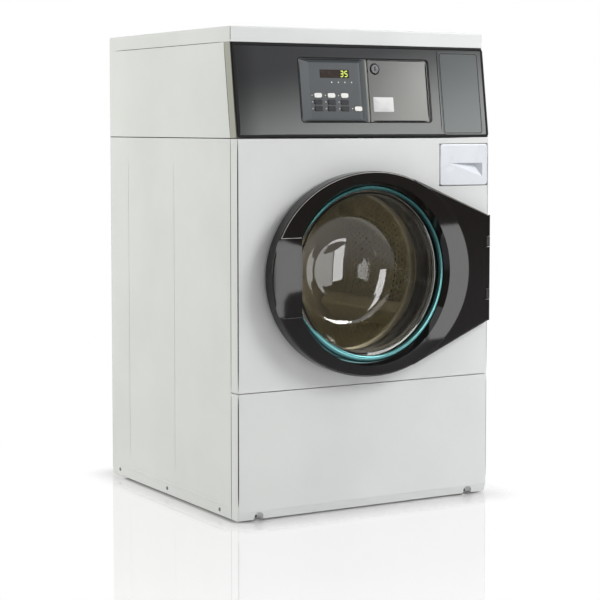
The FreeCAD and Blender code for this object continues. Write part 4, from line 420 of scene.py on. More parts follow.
def painted_end_shade(material, ends, depth):
    """Paints shade into a colour towards an end: times a smooth step of x, from depth to 1 between the ends.
    """
    tree = material.node_tree
    shader = tree.nodes["Principled BSDF"]
    across = node(tree, "SeparateXYZ", object_place(tree))["X"]
    span = node(tree, "MapRange", across, *ends, depth, interpolation_type="SMOOTHSTEP")["Result"]
    plain = shader.inputs["Base Color"].links[0].from_socket
    fill(shader, Base_Color=node(tree, "VectorMath", plain, operation="SCALE", Scale=span)["Vector"])


# The pan is coloured an olive-grey, darker than the white panels.
finish(
    "console_paint", ((150, 151, 138), (158, 159, 146)), drift=5, rough=(0.34, 0.42), skin=0.05,
    on=["console_panel"],
)
# The fascia's colour carries painted light and shade: dark at its top and its left, lighter towards its foot
# and its right-hand end.
console_grey = graded(
    "console_grey", ((55, 56, 58), (137, 139, 138)), towards=(0.45, 0, -2.2), ends=(-2.35, -1.86),
    rough=(0.36, 0.44), Specular_IOR_Level=0.08,
)
# Painted shade darkens the fascia's left end, where its edge rounds away.
painted_end_shade(console_grey, FASCIA_SHADE_X, FASCIA_SHADE)
dress(console_grey, "console_fascia")
# The insert's colour carries painted light: darker at its top left, lighter towards its foot and its
# right-hand end.
graded(
    "insert_grey", ((72, 77, 79), (124, 128, 128)), towards=(0.4, 0, -1.6), ends=(-1.66, -1.24),
    rough=(0.36, 0.44), Specular_IOR_Level=0.2, on=["blank_insert"],
)
# The black edging round the fascia is painted shade: the shade of its rounded left end and foot and of the
# gaps round it.
fascia_shade_edging = [
    edge_line(FASCIA_X, FASCIA_U, corner=0.006, half_width=0.0033, rise=0.0010),
    face_bead(*FASCIA_LEFT, half_width=0.0030, rise=0.0008),
    face_bead(*FASCIA_FOOT, half_width=0.0040, rise=0.0008),
]
piece_of("fascia_painted_shade_edging", fascia_shade_edging, black_seals_and_shade_lines, "cabinet")
recess_black_line = [edge_line(RECESS_X, RECESS_U, corner=0.008, half_width=0.0011, rise=0.0006)]
piece_of("recess_black_line", recess_black_line, black_seals_and_shade_lines, "cabinet")
insert_edge = [
    edge_line(INSERT_X, INSERT_U, corner=0.006, half_width=0.0008, rise=0.0003, out=0.0006),
    face_bead(*INSERT_FOLD, half_width=0.0010, rise=0.0004),
]
piece_of("insert_edge_line", insert_edge, black_seals_and_shade_lines, "cabinet")

# Control bezel, display and keypad. The bezel is a dished blue-grey moulding; a smoked window shows two
# lit figures, and ten caps, white or dark, each have a small white lamp to their left.
BEZEL_FACE = -0.002
BEZEL_FLOOR = -0.008
BEZEL_FOOT_X = (-0.1680, 0.0060)
BEZEL_LEFT_X, BEZEL_LEFT_HALF = -0.1700, 0.0009
EDGE_FOOT_U, EDGE_TOP_U = 0.0392, 0.1806
EDGE_UPRIGHT_U = (0.042, 0.178)
EDGE_FOOT_HALF, EDGE_TOP_HALF = 0.0016, 0.0009
EDGE_RISE = 0.0006
DISPLAY_FACE = -0.0078
DIGIT_U = 0.1491
DIGIT_SIZE = (0.0068, 0.0126)
DIGIT_STROKE = 0.0019
DIGIT_SLANT = 0.1
DIGIT_FILL = 0.94
DIGIT_CLEAR, DIGIT_RISE = 0.0001, 0.0002
DIGIT_PLACES = ((-0.0545, "abcdg"), (-0.0431, "acdfg"))
KEY_COLUMNS = -0.122 + 0.0353 * np.arange(4)
KEY_ROWS = 0.099 - 0.0152 * np.arange(3)
KEY_LAMP_STEP = 0.0155
KEY_LAMP = (0.0014, 0.0007)
SIGN_LAMP_X = np.array([-0.083, -0.065, -0.0475, -0.0295])
SIGN_LAMP_U = 0.1295
SIGN_LAMP = (0.0018, 0.0007)
# The bezel's colour carries painted light: lighter towards its right-hand end, over the dish's shaded right
# wall.
graded(
    "bezel_grey", ((80, 84, 87), (112, 116, 118)), towards=(1, 0, 0), ends=(-0.014, 0.002),
    rough=(0.38, 0.46), skin=0.12, skin_scale=1600, Specular_IOR_Level=0.2, on=["control_bezel"],
)


def panel_shade_lines(foot_x, upright_x, upright_half, out):
    """Black lines of painted shade in the gaps round a panel in the recess: along its foot and its top, and up
    one side.
    """
    foot, top = ([(x, u) for x in foot_x] for u in (EDGE_FOOT_U, EDGE_TOP_U))
    upright = [(upright_x, u) for u in EDGE_UPRIGHT_U]
    edges = ((foot, EDGE_FOOT_HALF), (top, EDGE_TOP_HALF), (upright, upright_half))
    return [face_bead(*line, half_width, EDGE_RISE, out) for line, half_width in edges]


# The black lines round the bezel are painted shade in the gaps beside it.
bezel_shade_lines = panel_shade_lines(BEZEL_FOOT_X, BEZEL_LEFT_X, BEZEL_LEFT_HALF, BEZEL_FACE)
piece_of("bezel_shade_lines", bezel_shade_lines, black_seals_and_shade_lines, "cabinet")
finish(
    "display_brown", ((36, 24, 18), (46, 31, 24)), drift=30, rough=(0.2, 0.3), skin=0.01,
    Specular_IOR_Level=0.12, on=["display_window"],
)
key_white = finish(
    "key_white", ((226, 226, 222), (233, 233, 229)), drift=40, rough=(0.34, 0.42), skin=0.06,
    on=[f"keypad_key_{number}" for number in (1, 2, 3, 10)],
)
finish(
    "key_dark", ((34, 36, 40), (44, 46, 50)), drift=40, rough=(0.34, 0.42), skin=0.06, Specular_IOR_Level=0.2,
    on=[f"keypad_key_{number}" for number in range(4, 10)],
)
finish("board_green", ((26, 84, 50), (36, 98, 60)), drift=120, rough=(0.3, 0.5), on=["control_board"])


def stroke(x, u, length, upright):
    """One bar of a figure: a lens section carried along the bar and drawn to a point at both ends."""
    t = np.array([-1, -0.86, -0.7, 0, 0.7, 0.86, 1])[:, None]
    s = circle(10)[None, :]
    swell = np.clip((1 - np.abs(t)) * length / DIGIT_STROKE, 0, 1)
    run = t * length / 2 + 0 * s
    across = swell * DIGIT_STROKE / 2 * np.cos(s)
    rise = DISPLAY_FACE + DIGIT_CLEAR + swell * DIGIT_RISE * np.sin(s)
    dx, du = (across, run) if upright else (run, across)
    return on_console(x + dx, u + du, rise), False, True


wide, tall = DIGIT_SIZE
bars = {
    "a": (0, tall / 2, wide, False), "g": (0, 0, wide, False), "d": (0, -tall / 2, wide, False),
    "f": (-wide / 2, tall / 4, tall / 2, True), "b": (wide / 2, tall / 4, tall / 2, True),
    "c": (wide / 2, -tall / 4, tall / 2, True),
}
strokes = []
for digit_x, lit in DIGIT_PLACES:
    for letter in lit:
        dx, du, length, upright = bars[letter]
        strokes.append(stroke(digit_x + dx + DIGIT_SLANT * du, DIGIT_U + du, DIGIT_FILL * length, upright))
lit_green = finish(
    "lit_figures", ((190, 205, 70), (215, 228, 95)), drift=300, rough=(0.4, 0.5),
    Emission_Color=shade(200, 216, 80), Emission_Strength=0.8,
)
piece_of("display_figures", strokes, lit_green, "cabinet")
key_places = [(c, r) for r in range(3) for c in range(3)] + [(3, 2)]
lamp_x = np.array([KEY_COLUMNS[c] - KEY_LAMP_STEP for c, _ in key_places])
lamp_u = np.array([KEY_ROWS[r] for _, r in key_places])
keypad_lamps = heads(on_console(lamp_x, lamp_u, BEZEL_FLOOR), CONSOLE_OUT, *KEY_LAMP)
sign_places = on_console(SIGN_LAMP_X, SIGN_LAMP_U + 0 * SIGN_LAMP_X, BEZEL_FLOOR)
keypad_lamps += heads(sign_places, CONSOLE_OUT, *SIGN_LAMP)
piece_of("keypad_lamps", keypad_lamps, key_white, "cabinet")

# Service plate and lock. A satin grey steel flap covers the service opening; a black collar frames the key
# lock, and a bare white card is stuck below it.
PLATE_FACE = -0.0024
PLATE_FOOT_X = (0.0160, 0.1740)
PLATE_RIGHT_X, PLATE_RIGHT_HALF = 0.1750, 0.0020
LOCK_X, LOCK_U = 0.0327, 0.1606
COLLAR_RADII = (0.0102, 0.0134)
COLLAR_RISE = 0.0012
CARD_X = (0.023, 0.078)
CARD_U = (0.061, 0.095)
CARD_CORNER = 0.002
CARD_THICK, CARD_EDGE = 0.0003, 0.0001
# The plate's colour carries painted light: darker at its top left, lighter towards its foot and its right-hand
# edge.
graded(
    "plate_steel", ((64, 65, 64), (118, 118, 115)), towards=(0.8, 0, -0.9), ends=(-0.93, -0.66),
    rough=(0.34, 0.42), skin=0.06, skin_scale=900, Metallic=0.25, on=["service_plate"],
)
finish(
    "lock_chrome", ((50, 50, 52), (74, 74, 76)), drift=200, rough=(0.2, 0.34), Metallic=1.0,
    on=["lock_cylinder"],
)


def lock_collar():
    """A ring on the plate: a half-round section between two radii, turned about the lock."""
    a = circle(48)[:, None]
    s = circle(14)[None, :]
    inner, outer = COLLAR_RADII
    radius = (inner + outer) / 2 + (outer - inner) / 2 * np.cos(s)
    out = PLATE_FACE + COLLAR_RISE * np.sin(s) + 0 * a
    return on_console(LOCK_X + radius * np.cos(a), LOCK_U + radius * np.sin(a), out), True, True


def rounded_pad(x, u, corner, out, thickness, edge):
    """A thin pad: the rounded outline from its underside up its wall, over a rounded edge, and drawn in
    to the middle above and below."""
    loop, direction = rounded_loop(x, u, corner)
    middle = np.array([(x[0] + x[1]) / 2, (u[0] + u[1]) / 2])
    inset = np.array([edge, 0, 0, 0.3 * edge, edge])[:, None, None]
    height = np.array([0, 0, 0, thickness - edge, thickness - 0.3 * edge, thickness, thickness])
    rings = loop[None] - direction[None] * inset
    rings = np.concatenate([0 * rings[:1] + middle, rings, 0 * rings[:1] + middle])
    height = height[:, None] + np.zeros(rings.shape[:2])
    return on_console(rings[..., 0], rings[..., 1], out + height), False, True


piece_of("lock_collar", [lock_collar()], black_seals_and_shade_lines, "service_plate")
card_white = finish("card_white", ((208, 209, 208), (216, 217, 216)), drift=60, rough=(0.45, 0.55), skin=0.04)
card = [rounded_pad(CARD_X, CARD_U, CARD_CORNER, PLATE_FACE, CARD_THICK, CARD_EDGE)]
piece_of("plate_card", card, card_white, "service_plate")
# The black lines round the plate are painted shade in the gaps beside it.
plate_shade_lines = panel_shade_lines(PLATE_FOOT_X, PLATE_RIGHT_X, PLATE_RIGHT_HALF, PLATE_FACE)
piece_of("plate_shade_lines", plate_shade_lines, black_seals_and_shade_lines, "service_plate")

# Detergent drawer. A glossy white moulded front with a finger scoop carries a pale grey tray, which
# slides in a housing hung behind the front panel.
finish(
    "drawer_white", ((222, 225, 231), (228, 231, 237)), drift=8, rough=(0.22, 0.3), skin=0.03,
    Coat_Weight=0.2, on=["drawer_front"],
)
finish(
    "dispenser_grey", ((182, 184, 184), (192, 194, 194)), drift=20, rough=(0.4, 0.5),
    on=["dispenser_tray", "dispenser_housing"],
)

# Water inlets, fill hoses and cable gland. Two white plastic valves show their threaded stubs behind;
# black rubber hoses join them to the dispenser, and a black gland stands ready for the supply cable.
STUB_X = (0.200, 0.260)
STUB_Z = 0.985
STUB_RADIUS = 0.0132
STUB_Y = (0.350, 0.3685)
THREAD_PITCH = 0.0018
THREAD_SUNK, THREAD_HEIGHT = 0.0001, 0.0007
THREAD_FADE = 0.001
HOSE_RADIUS = 0.011
HOSE_SIDES = 24
HOSE_ROUTES = [
    [(0.200, 0.2892, 0.985), (0.200, 0.141, 0.985), (0.227, 0.071, 0.800), (0.227, -0.0667, 0.800)],
    [(0.260, 0.2892, 0.985), (0.260, 0.141, 0.985), (0.267, 0.071, 0.800), (0.267, -0.0667, 0.800)],
]
FILL_SLEEVE_PLACE = (0.240, -0.129)
FILL_SLEEVE_RADII = (0.0139, 0.0170)
FILL_SLEEVE_Z = (0.7163, 0.7495)
valve_plastic = finish(
    "valve_plastic", ((204, 206, 207), (214, 216, 217)), drift=30, rough=(0.36, 0.46), on=["inlet_valves"]
)
finish(
    "gland_black", ((24, 24, 25), (34, 34, 35)), drift=60, rough=(0.4, 0.52), skin=0.2,
    on=["cable_gland", "door_lock"],
)
rubber = finish("hose_rubber", ((28, 28, 29), (40, 40, 40)), drift=40, rough=(0.5, 0.65), skin=0.25)


def thread(x):
    """A pipe thread: a ridge whose height goes as a raised cosine of the turn less the run over the pitch,
    so that it winds round the stub once in each pitch, fading out at both ends."""
    y = np.linspace(STUB_Y[0], STUB_Y[1], 84)[:, None]
    a = circle(48)[None, :]
    fade = np.clip(np.minimum(y - STUB_Y[0], STUB_Y[1] - y) / THREAD_FADE, 0, 1)
    wave = 0.5 + 0.5 * np.cos(a - 2 * np.pi * y / THREAD_PITCH)
    radius = STUB_RADIUS - THREAD_SUNK + THREAD_HEIGHT * fade * wave
    return np.stack([x + radius * np.cos(a), y + 0 * a, STUB_Z + radius * np.sin(a)], axis=-1), False, True


def smooth_line(route):
    """Points along a route's NURBS line of order 3, which starts and ends on its end points."""
    curve = bpy.data.curves.new("route", "CURVE")
    curve.dimensions = "3D"
    spline = curve.splines.new("NURBS")
    spline.points.add(len(route) - 1)
    spline.points.foreach_set("co", np.column_stack([route, np.ones(len(route))]).ravel())
    spline.order_u = 3
    spline.use_endpoint_u = True
    spline.resolution_u = 14
    holder = bpy.data.objects.new("route", curve)
    line = bpy.data.meshes.new_from_object(holder)
    points = np.zeros(len(line.vertices) * 3)
    line.vertices.foreach_get("co", points)
    bpy.data.objects.remove(holder)
    bpy.data.curves.remove(curve)
    bpy.data.meshes.remove(line)
    return points.reshape(-1, 3)


def swept(line, radius, steady, sides):
    """A round bar or tube: a circle carried square to a line, kept upright by a steady direction, and
    drawn in to the line's end points."""
    along = np.gradient(line, axis=0)
    along /= np.linalg.norm(along, axis=1, keepdims=True)
    side = np.cross(along, np.array(steady))
    side /= np.linalg.norm(side, axis=1, keepdims=True)
    up = np.cross(side, along)
    a = circle(sides)[None, :, None]
    wall = line[:, None] + radius * (np.cos(a) * side[:, None] + np.sin(a) * up[:, None])
    return np.concatenate([wall[:1] * 0 + line[0], wall, wall[:1] * 0 + line[-1]]), False, True


def sleeve(place, radii, ends):
    """A short upright sleeve: the oblong between two radii and two heights, turned about its middle."""
    turn = circle(32)[:, None]
    radius = np.array([radii[0], radii[1], radii[1], radii[0]])
    height = np.repeat(ends, 2)
    x, y = place[0] + radius * np.cos(turn), place[1] + radius * np.sin(turn)
    return np.stack([x, y, height + 0 * turn], axis=-1), True, True


piece_of("inlet_threads", [thread(x) for x in STUB_X], valve_plastic, "cabinet", sharp=80)
fill_surfaces = [swept(smooth_line(route), HOSE_RADIUS, (1.0, 0, 0), HOSE_SIDES) for route in HOSE_ROUTES]
fill_surfaces.append(sleeve(FILL_SLEEVE_PLACE, FILL_SLEEVE_RADII, FILL_SLEEVE_Z))
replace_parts(piece_of("fill_hose_set", fill_surfaces, rubber, "cabinet"), "fill_hoses")

# Tub and counterweights. The tub is a deep-drawn stainless barrel with a bolted front ring; two cast
# iron sectors are bolted to its face to steady the spin.
finish(
    "stainless", ((168, 167, 162), (190, 189, 184)), drift=7, rough=(0.24, 0.36), skin=0.03,
    stretch=(0.4, 30, 0.4), Metallic=1.0, on=["tub_front", "tub_rear"],
)
finish(
    "iron_grey", ((70, 70, 72), (88, 88, 90)), drift=50, rough=(0.6, 0.75), skin=0.5, skin_scale=500,
    on=["counterweights"],
)

# Door gasket. A moulded grey rubber bellows seals the port to the tub: a bead round the port's lip, a deep
# fold that lets the tub move, and a collar clamped on the tub's neck.
DRUM_CENTRE = (-0.009, 0.550)
GASKET_PROFILE = [
    (0.1832, -0.3250), (0.1885, -0.3264), (0.1937, -0.3270), (0.1937, -0.3195), (0.1937, -0.3120),
    (0.1995, -0.3072), (0.2060, -0.3030), (0.2060, -0.2950), (0.2060, -0.2870), (0.1990, -0.2838),
    (0.1918, -0.2810), (0.1918, -0.2720), (0.1918, -0.2630), (0.1888, -0.2630), (0.1888, -0.2730),
    (0.1888, -0.2825), (0.1960, -0.2858), (0.2030, -0.2890), (0.2030, -0.2950), (0.2030, -0.3010),
    (0.1970, -0.3056), (0.1907, -0.3100), (0.1907, -0.3150), (0.1907, -0.3205), (0.1870, -0.3212),
    (0.1832, -0.3220),
]


def softened(profile, rounds=2):
    """A closed outline with its corners cut back by quarters, over and over, until they are round."""
    points = np.asarray(profile, dtype=float)
    for _ in range(rounds):
        following = np.roll(points, -1, axis=0)
        points = np.stack([0.75 * points + 0.25 * following, 0.25 * points + 0.75 * following], axis=1)
        points = points.reshape(-1, 2)
    return points


def around_axis(radius, y, angle, centre=DRUM_CENTRE):
    """Points at a radius and an angle about the drum's axis, or another that runs along y."""
    x, z = centre[0] + radius * np.cos(angle), centre[1] + radius * np.sin(angle)
    return np.stack([x, y + 0 * x, z], axis=-1)


def turned(profile, turns, centre=DRUM_CENTRE):
    """A profile of (radius, y) carried round an axis."""
    radius, y = np.asarray(profile, dtype=float).T
    return around_axis(radius, y, circle(turns)[:, None], centre)


gasket_rubber = finish(
    "gasket_rubber", ((58, 58, 58), (72, 72, 71)), drift=30, rough=(0.45, 0.6), skin=0.2, on=["shaft_seal"]
)
bellows = [(turned(softened(GASKET_PROFILE), 144), True, True)]
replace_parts(piece_of("gasket_bellows", bellows, gasket_rubber, "cabinet"), "door_gasket")

# Drum. A brushed stainless barrel pierced by rows of drain holes, with a rolled mouth and a back wall
# pressed into three low arms; the three lifters are pressed from the same steel.
DRUM_RADIUS = 0.2613
DRUM_ENDS = (-0.2405, 0.1703)
DRUM_SHEET = 0.0008
PIERCED = (-0.2135, 0.1465)
HOLE_ROWS, HOLE_COLUMNS = 26, 116
HOLE_RADIUS = 0.0024
ARM_HALF_WIDTH = 0.026
ARM_RISE = 0.0022
ARM_ENDS = (0.12, 0.92)
ARM_FADE = 0.15


def pierced_wall():
    """The pierced band of the barrel, unrolled as cells: eight points on a cell's edge and eight on its
    round hole, every other row moved on by half a cell, then rolled up about the drum's axis."""
    around = np.arange(8) * np.pi / 4
    ring = np.stack([np.cos(around), np.sin(around)], axis=-1)
    square = np.clip(ring * 1.5, -1, 1)
    cell_y = (PIERCED[1] - PIERCED[0]) / HOLE_ROWS
    cell_a = 2 * np.pi / HOLE_COLUMNS
    row = np.arange(HOLE_ROWS)[:, None, None, None]
    column = np.arange(HOLE_COLUMNS)[None, :, None, None]
    steps_a = np.stack([square[:, 0] * cell_a / 2, ring[:, 0] * HOLE_RADIUS / DRUM_RADIUS])
    steps_y = np.stack([square[:, 1] * cell_y / 2, ring[:, 1] * HOLE_RADIUS])
    angle = (column + 0.5 + 0.5 * (row % 2)) * cell_a + steps_a
    points = around_axis(DRUM_RADIUS, PIERCED[0] + (row + 0.5) * cell_y + steps_y, angle).reshape(-1, 3)
    first = np.arange(HOLE_ROWS * HOLE_COLUMNS)[:, None] * 16
    k = np.arange(8)[None, :]
    faces = np.stack([first + k, first + (k + 1) % 8, first + 8 + (k + 1) % 8, first + 8 + k], axis=-1)
    return points, faces.reshape(-1, 4)


def drum_back():
    """The back wall: three low arms, pressed forwards by a bell curve across each arm and faded out at
    the hub and at the rim."""
    r = np.linspace(0, 1, 28)[None, :]
    a = circle(2 * HOLE_COLUMNS)[:, None]
    off_arm = (a - np.pi / 2 + np.pi / 3) % (2 * np.pi / 3) - np.pi / 3
    arm = np.exp(-((off_arm * r * DRUM_RADIUS / ARM_HALF_WIDTH) ** 4))
    fade = np.clip((r - ARM_ENDS[0]) / ARM_FADE, 0, 1) * np.clip((ARM_ENDS[1] - r) / ARM_FADE, 0, 1)
    return around_axis(r * DRUM_RADIUS, DRUM_ENDS[1] - ARM_RISE * arm * fade, a)


mouth = [
    (DRUM_RADIUS, PIERCED[0]), (DRUM_RADIUS, -0.2375), (0.2603, -0.2398), (0.2580, DRUM_ENDS[0]),
    (0.1925, DRUM_ENDS[0]), (0.1897, -0.2397), (0.1887, -0.2378), (0.1887, -0.2315),
]
tail = [(DRUM_RADIUS, PIERCED[1]), (DRUM_RADIUS, DRUM_ENDS[1])]
bands = [(turned(profile, 2 * HOLE_COLUMNS), True, False) for profile in (mouth, tail)]
drum_steel = finish(
    "drum_steel", ((200, 196, 178), (214, 210, 192)), drift=7, rough=(0.36, 0.5), skin=0.03,
    stretch=(0.4, 30, 0.4), Metallic=0.35,
)
drum = piece_of(
    "drum_pierced_shell", [*bands, (drum_back(), True, False)], drum_steel, "drum", sharp=40,
    merge=2e-6, cells=pierced_wall(),
)
drum_sheet = drum.modifiers.new("sheet", "SOLIDIFY")
drum_sheet.thickness = DRUM_SHEET
drum_sheet.offset = 0.0
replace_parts(drum, "drum_shell")
dress(drum_steel, "drum_baffles")

# Drive. A cast spider and its shaft carry the drum in two bearings; a cast pulley is driven through a
# flat rubber belt by a painted motor with a small turned pulley.
finish(
    "cast_alloy", ((160, 162, 164), (182, 184, 186)), drift=40, rough=(0.4, 0.55), Metallic=0.9,
    on=["drum_spider", "drum_pulley"],
)
finish(
    "bearing_steel", ((170, 170, 170), (188, 188, 188)), drift=90, rough=(0.14, 0.22), Metallic=1.0,
    on=["drum_bearings"],
)
dress(rubber, "drive_belt")
finish("motor_grey", ((86, 90, 95), (98, 102, 107)), drift=25, rough=(0.4, 0.52), skin=0.2, on=["motor_body"])
dress(zinc, "motor_pulley")

# Suspension. The tub hangs in four coil springs, hooked to the side panels, and four friction dampers
# stand between the base and the tub.
SPRING_PLACES = [(x, y) for x in (-0.318, 0.318) for y in (-0.019, 0.141)]
COIL_ENDS = (0.642, 0.778)
HOOK_ENDS = (0.6002, 0.8198)
HOOK_STEP = 0.001
COIL_RADIUS = 0.013
WIRE_RADIUS = 0.0018
WIRE_STEADY = (0.123, 0.456, 0.05)
COIL_TURNS = 24
CLOSING_TURNS = 0.75


def spring(x, y):
    """A coil spring: a round wire along a helix that closes in to the middle line at both ends and runs
    on straight as its two hooks."""
    t = np.linspace(0, 1, COIL_TURNS * 18)
    turn = 2 * np.pi * COIL_TURNS * t
    draw = np.clip(np.minimum(t, 1 - t) * COIL_TURNS / CLOSING_TURNS, 0, 1)
    radius = COIL_RADIUS * np.sin(draw * np.pi / 2)
    height = COIL_ENDS[0] + t * (COIL_ENDS[1] - COIL_ENDS[0])
    coil = np.column_stack([x + radius * np.cos(turn), y + radius * np.sin(turn), height])
    low = np.linspace((x, y, HOOK_ENDS[0]), (x, y, COIL_ENDS[0] - HOOK_STEP), 6)
    high = np.linspace((x, y, COIL_ENDS[1] + HOOK_STEP), (x, y, HOOK_ENDS[1]), 6)
    return swept(np.concatenate([low, coil, high]), WIRE_RADIUS, WIRE_STEADY, 8)


coils = [spring(x, y) for x, y in SPRING_PLACES]
springs = piece_of("coil_springs", coils, zinc, "cabinet", sharp=60)
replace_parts(springs, "suspension_springs")
finish("damper_black", ((30, 30, 31), (42, 42, 43)), drift=30, rough=(0.35, 0.5), on=["dampers"])

# Drain pump and drain hose. The pump stands on the front cross beam; a ribbed rubber hose runs from it
# straight back to a smooth spigot through the rear panel, and a sleeve joins it to the sump.
DRAIN_CENTRE = (-0.009, 0.090)
DRAIN_Y = (-0.0985, 0.371)
DRAIN_RADIUS, DRAIN_BORE = 0.0189, 0.0161
HOSE_END, RIBBED_END = 0.3475, 0.325
CUFF_LENGTH = 0.02
RIB_DEPTH, RIB_PITCH = 0.0012, 0.0065
DRAIN_SPIGOT = [(0.0184, 0.3482), (0.0184, 0.3702), (0.0178, DRAIN_Y[1])]
SUMP_SLEEVE_PLACE = (-0.009, -0.149)
SUMP_SLEEVE_RADII = (0.0221, 0.0248)
SUMP_SLEEVE_Z = (0.1145, 0.2578)
dress(valve_plastic, "drain_pump")


def drain_profile():
    """The drain's section: ribs cut into its outside as a raised cosine along the run, left out at both
    cuffs, then the spigot, and back along the bore."""
    run = np.linspace(DRAIN_Y[0], HOSE_END, 420)
    ribbed = np.clip(np.minimum(run - DRAIN_Y[0], RIBBED_END - run) / CUFF_LENGTH - 1, 0, 1)
    outside = DRAIN_RADIUS - RIB_DEPTH * ribbed * (0.5 + 0.5 * np.cos(2 * np.pi * run / RIB_PITCH))
    bore = [(DRAIN_BORE, y) for y in reversed(DRAIN_Y)]
    return np.concatenate([np.column_stack([outside, run]), DRAIN_SPIGOT, bore])


drain_surfaces = [
    (turned(drain_profile(), 40, DRAIN_CENTRE), True, True),
    sleeve(SUMP_SLEEVE_PLACE, SUMP_SLEEVE_RADII, SUMP_SLEEVE_Z),
]
drain = piece_of("drain_hose_ribbed", drain_surfaces, rubber, "cabinet", sharp=60)
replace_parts(drain, "drain_hose")

# Door. A gloss black oval moulding with a grip pocket and a wing to the hinge clamps a deep smoked glass
# bowl against a flat back; a fine ridge edges its face, and a teal anodised ring lines its window, left
# out at the grip. A highlight is painted along the ridge's upper run and into the ring's lower part.
GRIP_HALF = 0.089
GRIP_CORNER = (-0.2020, 0.0892)
FACE_Y = -0.3706
FACE_HALF = (0.2652, 0.2332)
WING_TIP = (0.3290, -0.3491, 0.1251)
WING_LEAVES = math.radians(66)
RIDGE_RADIUS = 0.0009
BOWL_MOUTH = (0.184, -0.345)
BOWL_SLOPE = 2.0
BOWL_CROWN = (-0.229, 0.73)
BOWL_SOFTNESS = 0.010
RIPPLES = (0.076, 0.101)
RIPPLE_DEPTH = 0.00022
RIPPLE_WIDTH = 0.005
GLASS_WALL = 0.006
GLASS_RIM = (0.2118, -0.339)
RIM_CLEAR, RIM_STEP = 0.0005, 0.0004
GLASS_TINT = shade(246, 243, 235)
RING_RADII = (0.1930, 0.2028)
RING_Y = (-0.3570, -0.3452)
RING_BEVEL = (0.0018, 0.0030)
RING_LINE = 0.1995
RING_GAP = math.asin(GRIP_HALF / RING_LINE)
RING_TIP, RING_TAPER = 0.12, 0.35
RING_SWELL, RING_SWELL_AT, RING_SWELL_WIDTH = 0.7, -2.1, 0.55
finish(
    "door_black", ((18, 16, 16), (23, 21, 21)), drift=4, rough=(0.02, 0.05), skin=0.01, skin_scale=300,
    on=["door_outer_frame", "door_inner_frame"],
)
finish(
    "hinge_black", ((24, 24, 26), (34, 34, 36)), drift=40, rough=(0.35, 0.5), skin=0.2, on=["hinge_bracket"]
)
dress(zinc, "door_strike", "hinge_pin")
# The ridge's colour carries a painted highlight: black along its lower run, light grey along its upper run.
ridge_highlight = graded(
    "door_ridge_highlight", ((22, 20, 20), (150, 147, 144)), towards=(0, 0, 1), ends=(0.50, 0.63), rough=(0.2, 0.3),
    skin=0.02,
)


def face_ridge(side):
    """The moulded ridge along the face's upper (1) or lower (-1) edge: from the window along the grip, then
    round the face's ellipse and straight down the wing."""
    a = np.pi - np.linspace(math.asin(GRIP_CORNER[1] / FACE_HALF[1]), np.pi - WING_LEAVES, 40)
    x, z = FACE_HALF[0] * np.cos(a) + DRUM_CENTRE[0], FACE_HALF[1] * np.sin(a)
    bend = np.column_stack([x, 0 * a + FACE_Y, z])
    route = np.concatenate([[(GRIP_CORNER[0], FACE_Y, GRIP_CORNER[1])], [bend[0]] * 2, bend, [WING_TIP]])
    route[:, 2] = DRUM_CENTRE[1] + side * route[:, 2]
    return swept(smooth_line(route), RIDGE_RADIUS, (0, 1.0, 0), HOSE_SIDES)


piece_of("door_face_ridges", [face_ridge(side) for side in (-1, 1)], ridge_highlight, "door")


def emit(tree, output):
    """Makes a shader's output the material's surface."""
    fill(tree.nodes["Material Output"], Surface=output)


def smoked_glass(name, tint):
    """Tempered glass: a clear body that takes a warm tint, with faint smears in its gloss. Light from
    the lamps passes straight through to the drum."""
    material, tree, shader = blank(name)
    smear = between(tree, noise(tree, object_place(tree), scale=18), low=0.0, high=0.035)
    fill(shader, Base_Color=tint, Transmission_Weight=1.0, IOR=1.6, Roughness=smear)
    clear = node(tree, "BsdfTransparent", Color=tint)["BSDF"]
    from_lamp = node(tree, "LightPath")["Is Shadow Ray"]
    emit(tree, node(tree, "MixShader", from_lamp, shader.outputs["BSDF"], clear)["Shader"])
    return material


def bowl_face(radius):
    """The bowl's inner face: the softer lesser, -k log(e^(-cone/k) + e^(-crown/k)), of a steep cone from the
    mouth and a shallow round crown at the end, which keeps two faint bell-shaped ripples of the pressing."""
    cone = BOWL_MOUTH[1] + (BOWL_MOUTH[0] - radius) * BOWL_SLOPE
    crown = BOWL_CROWN[0] - radius**2 / (2 * BOWL_CROWN[1])
    crown += sum(RIPPLE_DEPTH * np.exp(-(((radius - middle) / RIPPLE_WIDTH) ** 2)) for middle in RIPPLES)
    lesser = np.exp(-cone / BOWL_SOFTNESS) + np.exp(-crown / BOWL_SOFTNESS)
    return -BOWL_SOFTNESS * np.log(lesser)


bowl_radius = np.linspace(0, BOWL_MOUTH[0], 185)
inner_y = bowl_face(bowl_radius)
lean = np.gradient(inner_y, bowl_radius)
lean[0] = 0.0
wall_step = GLASS_WALL / np.sqrt(1 + lean**2)
inner_face = np.column_stack([bowl_radius, inner_y])
outer_face = np.column_stack([bowl_radius - lean * wall_step, inner_y + wall_step])
outer_face = outer_face[outer_face[:, 1] > GLASS_RIM[1] + RIM_CLEAR]
rim_start = (outer_face[-1, 0] + RIM_STEP, GLASS_RIM[1])
rim = [rim_start, GLASS_RIM, (GLASS_RIM[0], BOWL_MOUTH[1]), inner_face[-1]]
bowl_profiles = (inner_face, np.concatenate([outer_face, rim]))
bowl_faces = [(turned(profile, 144), True, False) for profile in bowl_profiles]
glass = piece_of("glass_bowl", bowl_faces, smoked_glass("door_glass", GLASS_TINT), "door")
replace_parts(glass, "door_glass")
# The ring's colour carries a painted highlight: dark teal at its top, lighter cyan towards its foot.
ring_teal = graded(
    "ring_teal", ((38, 82, 82), (96, 154, 156)), towards=(0, 0, -1), ends=(-0.74, -0.36), rough=(0.16, 0.24),
    skin=0.02, Metallic=0.7,
)


